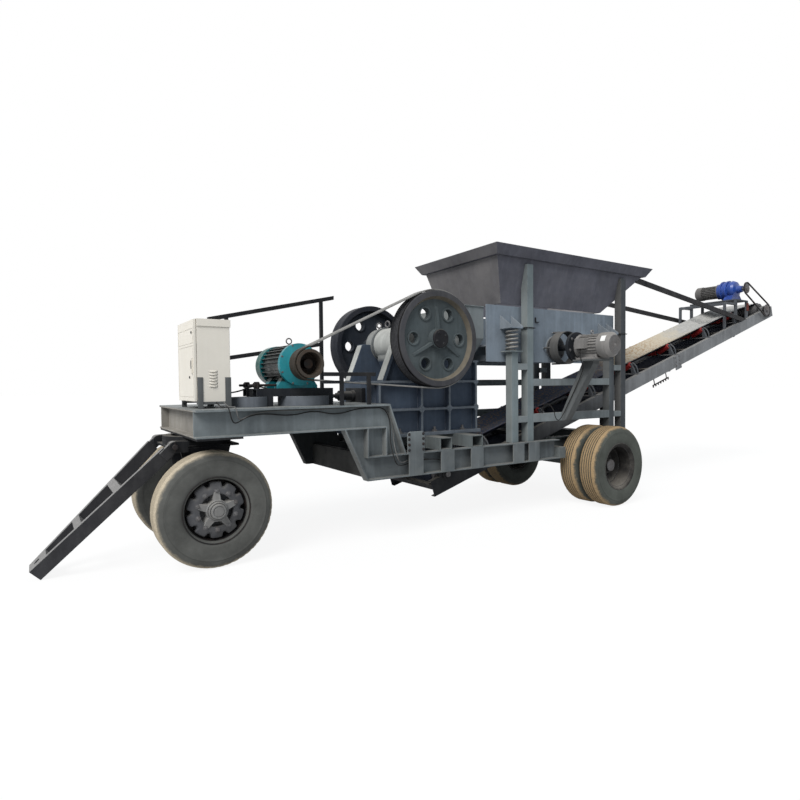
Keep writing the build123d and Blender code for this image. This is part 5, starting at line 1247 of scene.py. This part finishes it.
class PLANT_OT_feeder(bpy.types.Operator):
    """Feeder tray paint, coil springs, exciter and coupling bolts, and the feeder motor's trim"""

    bl_idname = "plant.feeder"
    bl_label = "Feeder"

    def execute(self, context):
        dress("feeder_paint", "feeder_tray")
        dress("frame_paint", "chute")
        dress("stand_paint", "feeder_motor_stand")
        dress("slide_paint", "exciter_coupling")
        dress("grey_enamel", "feeder_motor")
        low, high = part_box("feeder_springs")
        bm = bmesh.new()
        for x in (low.x + SPRING_R, high.x - SPRING_R):
            for y in (low.y + SPRING_R, high.y - SPRING_R):
                coil_spring(bm, Vector((x, y, low.z)), high.z - low.z)
        springs = piece("feeder_coil_springs", bm, "spring_steel", None, 60)
        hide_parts("feeder_springs")
        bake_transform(springs)
        for end, side in SIDES:
            bm = bmesh.new()
            bolt_circle(bm, at(EXCITER[0], side * EXCITER_BOLT_Y, EXCITER[1]), side, 0.148, 10, 0.012)
            piece(f"exciter_bolts_{end}", bm, "black_steel", "feeder")
        bm = bmesh.new()
        slab(bm, at(4.27, -0.632, 2.5), at(4.29, -0.619, 2.57))
        slab(bm, at(4.27, -0.65, 2.5), at(4.33, -0.619, 2.51))
        piece("tray_bracket", bm, "black_paint", "feeder")
        bm = bmesh.new()
        bolt_circle(bm, at(EXCITER[0], COUPLING_FACE, EXCITER[1]), -1, 0.15, 6, 0.014, turn=0.3)
        piece("coupling_bolts", bm, "dull_steel", "exciter")
        bm = bmesh.new()
        eye(bm, at(EXCITER[0], -1.25, 2.338), (0, 1, 0), 0.022, 0.007)
        piece("feeder_motor_eye", bm, "steel", "chassis")
        bm = bmesh.new()
        grille(bm, at(EXCITER[0], FEEDER_COWL, EXCITER[1]), -1, 0.02, 0.018, 6, 0.007, 32)
        for x in FEEDER_FEET_X:
            for y in FEEDER_FEET_Y:
                bolt(bm, at(x, y, FEEDER_FEET_Z), (0, 0, 1), 0.012, stud=0.01)
        piece("feeder_motor_trim", bm, "dull_steel", "chassis")
        bm = bmesh.new()
        curved_plate(bm, at(EXCITER[0], -1.52, EXCITER[1]), 0.159, FEEDER_PLATE, 0.07)
        piece("feeder_motor_plate", bm, "plate_white", "chassis")
        return {"FINISHED"}


# Conveyor

IDLERS = 7
IDLER_FIRST = 1.03
IDLER_STEP = 1.13
HOOP_FOOT = (0.452, 0.204)
HOOP_KNEE = (0.484, 0.33)
HOOP_TOP = (0.388, 0.395)
COMB_TEETH = 7
COMB_Y = -0.474
COMB_BAR = -0.1
COMB_HANGERS = (4.78, 5.14)
COMB_ENDS = (4.72, 5.2)
COMB_FIRST = 4.735
COMB_SPAN = 0.45
COMB_THICK = 0.006
SPLICE_ALONG = (5.45, 5.57)
SPLICE_ABOVE = (0.03, 0.1, 0.17)
DRUMS_ALONG = (8.79, 0.26)
BEARING = ((0.036, 0), (0.075, 0), (0.072, 0.012), (0.05, 0.016), (0.036, 0.016))


def strip(bm, points, across, thick):
    """Flat bar of even width bent through points; across spans its width."""
    half = Vector(across) / 2
    rings = []
    for i, spot in enumerate(points):
        before, after = points[max(i - 1, 0)], points[min(i + 1, len(points) - 1)]
        lift = (after - before).cross(half).normalized() * thick / 2
        corners = (half + lift, half - lift, -half - lift, -half + lift)
        rings.append([bm.verts.new(spot + corner) for corner in corners])
    loft(bm, rings)


def idler_hoop(bm, s, side):
    """Bent bracket from the stringer to the outer end of a carrying roll."""
    points = []
    for k in range(9):
        t = k / 8
        bends = zip(HOOP_FOOT, HOOP_KNEE, HOOP_TOP)
        y, n = ((1 - t) ** 2 * a + 2 * t * (1 - t) * b + t * t * c for a, b, c in bends)
        points.append(on_belt(s, side * y, n))
    strip(bm, points, on_belt(0.022, 0, 0) - on_belt(0, 0, 0), 0.012)


def hanger_comb(bm):
    """Notched plate that sets the height of a return roller, hung below the near stringer."""
    length = on_belt(1, 0, 0) - on_belt(0, 0, 0)
    upright = on_belt(0, 0, 1) - on_belt(0, 0, 0)
    for s in COMB_HANGERS:
        hanger = [on_belt(s, COMB_Y, 0.0), on_belt(s, COMB_Y, COMB_BAR)]
        strip(bm, hanger, length * 0.02, COMB_THICK)
    back = [on_belt(s, COMB_Y, COMB_BAR) for s in COMB_ENDS]
    strip(bm, back, upright * 0.022, COMB_THICK)
    for k in range(COMB_TEETH):
        s = COMB_FIRST + COMB_SPAN * k / (COMB_TEETH - 1)
        tooth = [on_belt(s, COMB_Y, COMB_BAR), on_belt(s, COMB_Y, COMB_BAR - 0.035)]
        strip(bm, tooth, length * 0.03, COMB_THICK)


class PLANT_OT_conveyor(bpy.types.Operator):
    """Conveyor paint, belt dust, red rollers, idler hoops, hanger comb, bearings and splice bolts"""

    bl_idname = "plant.conveyor"
    bl_label = "Conveyor"

    def execute(self, context):
        dress("stringer_paint", "conveyor_stringers")
        dress("hoop_paint", "idler_frames", "drive_platform")
        dress("strut_paint", "conveyor_struts", "conveyor_ties")
        dress("belt_cover", "conveyor_belt")
        dress("roller_red", "idler_rolls")
        dress("dull_steel", "head_drum", "tail_drum")
        bm = bmesh.new()
        for side in (-1, 1):
            for s in SPLICE_ALONG:
                for n in SPLICE_ABOVE:
                    bolt(bm, on_belt(s, side * 0.5, n), (0, side, 0), detail().bolt_radius)
        piece("splice_bolts", bm, "dull_steel", "chassis")
        bm = bmesh.new()
        for side in (-1, 1):
            for i in range(IDLERS):
                idler_hoop(bm, IDLER_FIRST + i * IDLER_STEP, side)
        piece("idler_hoops", bm, "hoop_paint", "chassis")
        bm = bmesh.new()
        hanger_comb(bm)
        piece("return_hanger_comb", bm, "black_steel", "chassis")
        bm = bmesh.new()
        for s in DRUMS_ALONG:
            for side in (-1, 1):
                lathe(bm, on_belt(s, side * 0.49, 0.194), (0, side, 0), BEARING, 28, closed=True)
        piece("drum_bearings", bm, "black_paint", "chassis")
        return {"FINISHED"}


class PLANT_OT_conveyor_drive(bpy.types.Operator):
    """Conveyor motor, blue reducer with ring bolts, sprocket, chain and platform leg plate"""

    bl_idname = "plant.conveyor_drive"
    bl_label = "Conveyor drive"

    def execute(self, context):
        dress("drive_enamel", "drive_motor")
        dress("blue_enamel", "drive_reducer")
        dress("dull_steel", "drive_sprocket")
        dress("black_steel", "drive_chain")
        bm = bmesh.new()
        for y in (-0.225, -0.125):
            bolt_circle(bm, at(DRIVE[0], y, DRIVE[1]), -1, 0.178, 10, 0.01)
        piece("reducer_bolts", bm, "blue_enamel", "chassis")
        bm = bmesh.new()
        eye(bm, at(DRIVE[0], -0.28, 3.645), (0, 1, 0), 0.012, 0.004)
        piece("reducer_eye", bm, "blue_enamel", "chassis")
        bm = bmesh.new()
        plate_low = at(DRIVE[0] + 0.175, -0.462, DRIVE[1] - 0.41)
        slab(bm, plate_low, at(DRIVE[0] + 0.245, -0.449, DRIVE[1] - 0.26))
        piece("platform_leg_plate", bm, "rust_red", "chassis")
        return {"FINISHED"}


# Cables

DECK_CABLE = (
    (0.05, -0.53, 1.545), (0.05, -0.6, 1.53), (0.05, -0.7, 1.5), (0.05, -0.84, 1.5),
    (0.055, -0.955, 1.505), (0.075, -0.965, 1.38), (0.14, -0.875, 1.345), (0.26, -0.785, 1.4),
    (0.42, -0.772, 1.43), (0.72, -0.772, 1.39), (0.95, -0.772, 1.44), (1.2, -0.772, 1.38),
    (1.45, -0.772, 1.44), (1.64, -0.772, 1.44), (1.77, -0.78, 1.44), (1.83, -0.8, 1.34),
    (1.835, -0.815, 1.2), (1.815, -0.84, 1.07), (1.8, -0.91, 0.96), (1.83, -0.92, 0.85),
    (1.92, -0.85, 0.8), (2.04, -0.79, 0.8), (2.25, -0.785, 0.83), (2.45, -0.79, 0.83),
    (2.56, -0.785, 0.8), (2.62, -0.75, 0.79),
)
SECOND_DECK_CABLE = (
    (0.12, -0.53, 1.545), (0.12, -0.6, 1.53), (0.12, -0.7, 1.5), (0.12, -0.83, 1.5),
    (0.125, -0.93, 1.505), (0.14, -0.94, 1.395), (0.2, -0.85, 1.38), (0.32, -0.775, 1.43),
    (0.55, -0.765, 1.45), (0.9, -0.765, 1.444), (1.3, -0.765, 1.45), (1.66, -0.765, 1.445),
    (1.8, -0.775, 1.43), (1.86, -0.79, 1.33), (1.875, -0.8, 1.2), (1.87, -0.82, 1.08),
    (1.85, -0.89, 0.97), (1.87, -0.91, 0.87), (1.95, -0.86, 0.83), (2.06, -0.79, 0.84),
    (2.2, -0.775, 0.85), (2.32, -0.775, 0.84), (2.38, -0.75, 0.83),
)
MOTOR_CABLE = (
    (0.185, -0.29, 1.62), (0.26, -0.29, 1.62), (0.37, -0.29, 1.64), (0.5, -0.29, 1.69),
    (0.62, -0.29, 1.67), (0.7, -0.29, 1.635), (0.8, -0.29, 1.605), (0.915, -0.29, 1.61),
    (0.935, -0.29, 1.7),
)
FEEDER_CABLE = (
    (4.3, -0.725, 1.281), (4.3, -0.725, 1.365), (4.315, -0.8, 1.425), (4.345, -0.88, 1.34),
    (4.4, -0.86, 1.22), (4.5, -0.83, 1.17), (4.585, -0.83, 1.25), (4.604, -0.9, 1.4),
    (4.604, -1.0, 1.57), (4.6, -1.1, 1.75), (4.56, -1.19, 1.88), (4.48, -1.22, 1.95),
    (4.45, -1.22, 2.04), (4.45, -1.22, 2.12),
)


def cable(name, route, diameter, kind):
    """Smooth round cable along its route's control points, held at both ends by the chassis."""
    data = bpy.data.curves.new(name, "CURVE")
    data.dimensions = "3D"
    spline = data.splines.new("NURBS")
    spline.points.add(len(route) - 1)
    for held, spot in zip(spline.points, route):
        held.co = (*at(*spot), 1.0)
    spline.order_u = 3
    spline.use_endpoint_u = True
    data.resolution_u = 12
    data.bevel_depth = diameter / 2
    data.bevel_resolution = 3
    data.use_fill_caps = True
    data.materials.append(finish_of(kind))
    made = bpy.data.objects.new(name, data)
    bpy.context.scene.collection.objects.link(made)
    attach(made, "chassis")


class PLANT_OT_cables(bpy.types.Operator):
    """Power cables from the cabinet along the frame to the motors"""

    bl_idname = "plant.cables"
    bl_label = "Cables"

    def execute(self, context):
        cable("deck_cable", DECK_CABLE, 0.011, "cable_rubber")
        cable("second_deck_cable", SECOND_DECK_CABLE, 0.0098, "grey_cable")
        cable("motor_cable", MOTOR_CABLE, 0.015, "cable_rubber")
        cable("feeder_cable", FEEDER_CABLE, 0.0108, "cable_rubber")
        return {"FINISHED"}


# Stage

WHITE = (1.0, 1.0, 1.0, 1.0)
SKY_TINT = (0.86, 0.93, 1.0, 1.0)
FLOOR_WHITE = 1.12
FLOOR_HALF = 120
FLOOR_DROP = 0.002
SUN_TINT = (1.0, 0.985, 0.96)
SUN_WIDTH = math.radians(35)
SUN_AHEAD = (0.62, 0.36, -0.72)
SENSOR = 36.0
LENS = 25.065
FARTHEST = 400
CAMERA_SPOT = (-1.38, -5.92, 1.70)
CAMERA_AHEAD = (0.5475, 0.8363, -0.0298)
CAMERA_UP = (0.0246, 0.0195, 0.9995)


def seen_rays(tree):
    """Share of rays that come from the camera, straight or by way of a mirror or a pane."""
    path = add_node(tree, "ShaderNodeLightPath").outputs
    total = path["Is Camera Ray"]
    for name in ("Is Glossy Ray", "Is Transmission Ray"):
        inputs = {0: total, 1: path[name]}
        total = add_node(tree, "ShaderNodeMath", inputs, operation="ADD", use_clamp=True).outputs[0]
    return total


def put_out(tree, share, plain, seen, kind):
    """Lay one shader over another by a share, and end the tree with the result."""
    inputs = {0: share, 1: plain.outputs[0], 2: seen.outputs[0]}
    mixed = add_node(tree, "ShaderNodeMixShader", inputs)
    add_node(tree, kind, {"Surface": mixed.outputs[0]})


def studio_world(strength):
    """Even light all round, plain white to the camera."""
    world = bpy.data.worlds.new("studio")
    tree = cleared_tree(world)
    fill = add_node(tree, "ShaderNodeBackground", {"Color": SKY_TINT, "Strength": strength})
    white = add_node(tree, "ShaderNodeBackground", {"Color": WHITE, "Strength": 1.0})
    put_out(tree, seen_rays(tree), fill, white, "ShaderNodeOutputWorld")
    return world


def floor_material(tone, share):
    """Matt floor that shows the camera mostly white and keeps a soft shadow."""
    material = bpy.data.materials.new("studio_floor")
    tree = cleared_tree(material)
    matt = add_node(tree, "ShaderNodeBsdfDiffuse", {"Color": rgba(tone)})
    glow = add_node(tree, "ShaderNodeEmission", {"Color": WHITE, "Strength": FLOOR_WHITE})
    seen = add_node(tree, "ShaderNodeMath", {0: seen_rays(tree), 1: share}, operation="MULTIPLY")
    put_out(tree, seen.outputs[0], matt, glow, "ShaderNodeOutputMaterial")
    return material


class PLANT_OT_stage(bpy.types.Operator):
    """Pale floor, even light, soft key light and the camera"""

    bl_idname = "plant.stage"
    bl_label = "Stage"

    def execute(self, context):
        settings = context.scene.plant_stage
        context.scene.view_settings.view_transform = "Standard"
        context.scene.world = studio_world(settings.sky_strength)

        lamp = bpy.data.lights.new("key", "SUN")
        lamp.energy = settings.key_strength
        lamp.angle = SUN_WIDTH
        lamp.color = SUN_TINT
        key = bpy.data.objects.new("key", lamp)
        key.rotation_euler = Vector(SUN_AHEAD).to_track_quat("-Z", "Y").to_euler()
        context.scene.collection.objects.link(key)

        bm = bmesh.new()
        bmesh.ops.create_grid(bm, x_segments=1, y_segments=1, size=FLOOR_HALF)
        mesh = bpy.data.meshes.new("studio_floor")
        bm.to_mesh(mesh)
        bm.free()
        floor = bpy.data.objects.new("studio_floor", mesh)
        floor.location.z = -FLOOR_DROP
        context.scene.collection.objects.link(floor)
        mesh.materials.append(floor_material(settings.floor_colour, settings.floor_glow))

        view = bpy.data.cameras.new("view")
        view.sensor_width = SENSOR
        view.lens = LENS
        view.clip_end = FARTHEST
        camera = bpy.data.objects.new("view", view)
        context.scene.collection.objects.link(camera)
        ahead = Vector(CAMERA_AHEAD).normalized()
        right = ahead.cross(Vector(CAMERA_UP)).normalized()
        up = right.cross(ahead)
        turn = Matrix((right, up, -ahead)).transposed().to_4x4()
        camera.matrix_world = Matrix.Translation(at(*CAMERA_SPOT)) @ turn
        context.scene.camera = camera
        return {"FINISHED"}


STEPS = (
    PLANT_OT_stage,
    PLANT_OT_frame,
    PLANT_OT_front_wheels,
    PLANT_OT_rear_wheels,
    PLANT_OT_crusher,
    PLANT_OT_main_drive,
    PLANT_OT_cabinet,
    PLANT_OT_guards,
    PLANT_OT_hopper,
    PLANT_OT_feeder,
    PLANT_OT_conveyor,
    PLANT_OT_conveyor_drive,
    PLANT_OT_cables,
)


class PLANT_PT_panel(bpy.types.Panel):
    """Lists the plant's steps and settings."""

    bl_idname = "PLANT_PT_panel"
    bl_label = "Crusher plant"
    bl_space_type = "VIEW_3D"
    bl_region_type = "UI"
    bl_category = "Crusher plant"

    def draw(self, context):
        layout = self.layout
        for step in STEPS:
            layout.operator(step.bl_idname)
        for group in (context.scene.plant_paint, context.scene.plant_detail, context.scene.plant_stage):
            for name in group.__annotations__:
                layout.prop(group, name)


GROUPS = {"plant_paint": PlantPaint, "plant_detail": PlantDetail, "plant_stage": PlantStage}


def register():
    for name, group in GROUPS.items():
        bpy.utils.register_class(group)
        setattr(bpy.types.Scene, name, PointerProperty(type=group))
    for step in STEPS:
        bpy.utils.register_class(step)
    bpy.utils.register_class(PLANT_PT_panel)


def unregister():
    bpy.utils.unregister_class(PLANT_PT_panel)
    for step in reversed(STEPS):
        bpy.utils.unregister_class(step)
    for name, group in GROUPS.items():
        delattr(bpy.types.Scene, name)
        bpy.utils.unregister_class(group)


def main():
    register()
    for step in STEPS:
        area, name = step.bl_idname.split(".")
        getattr(getattr(bpy.ops, area), name)()


if __name__ == "__main__":
    main()
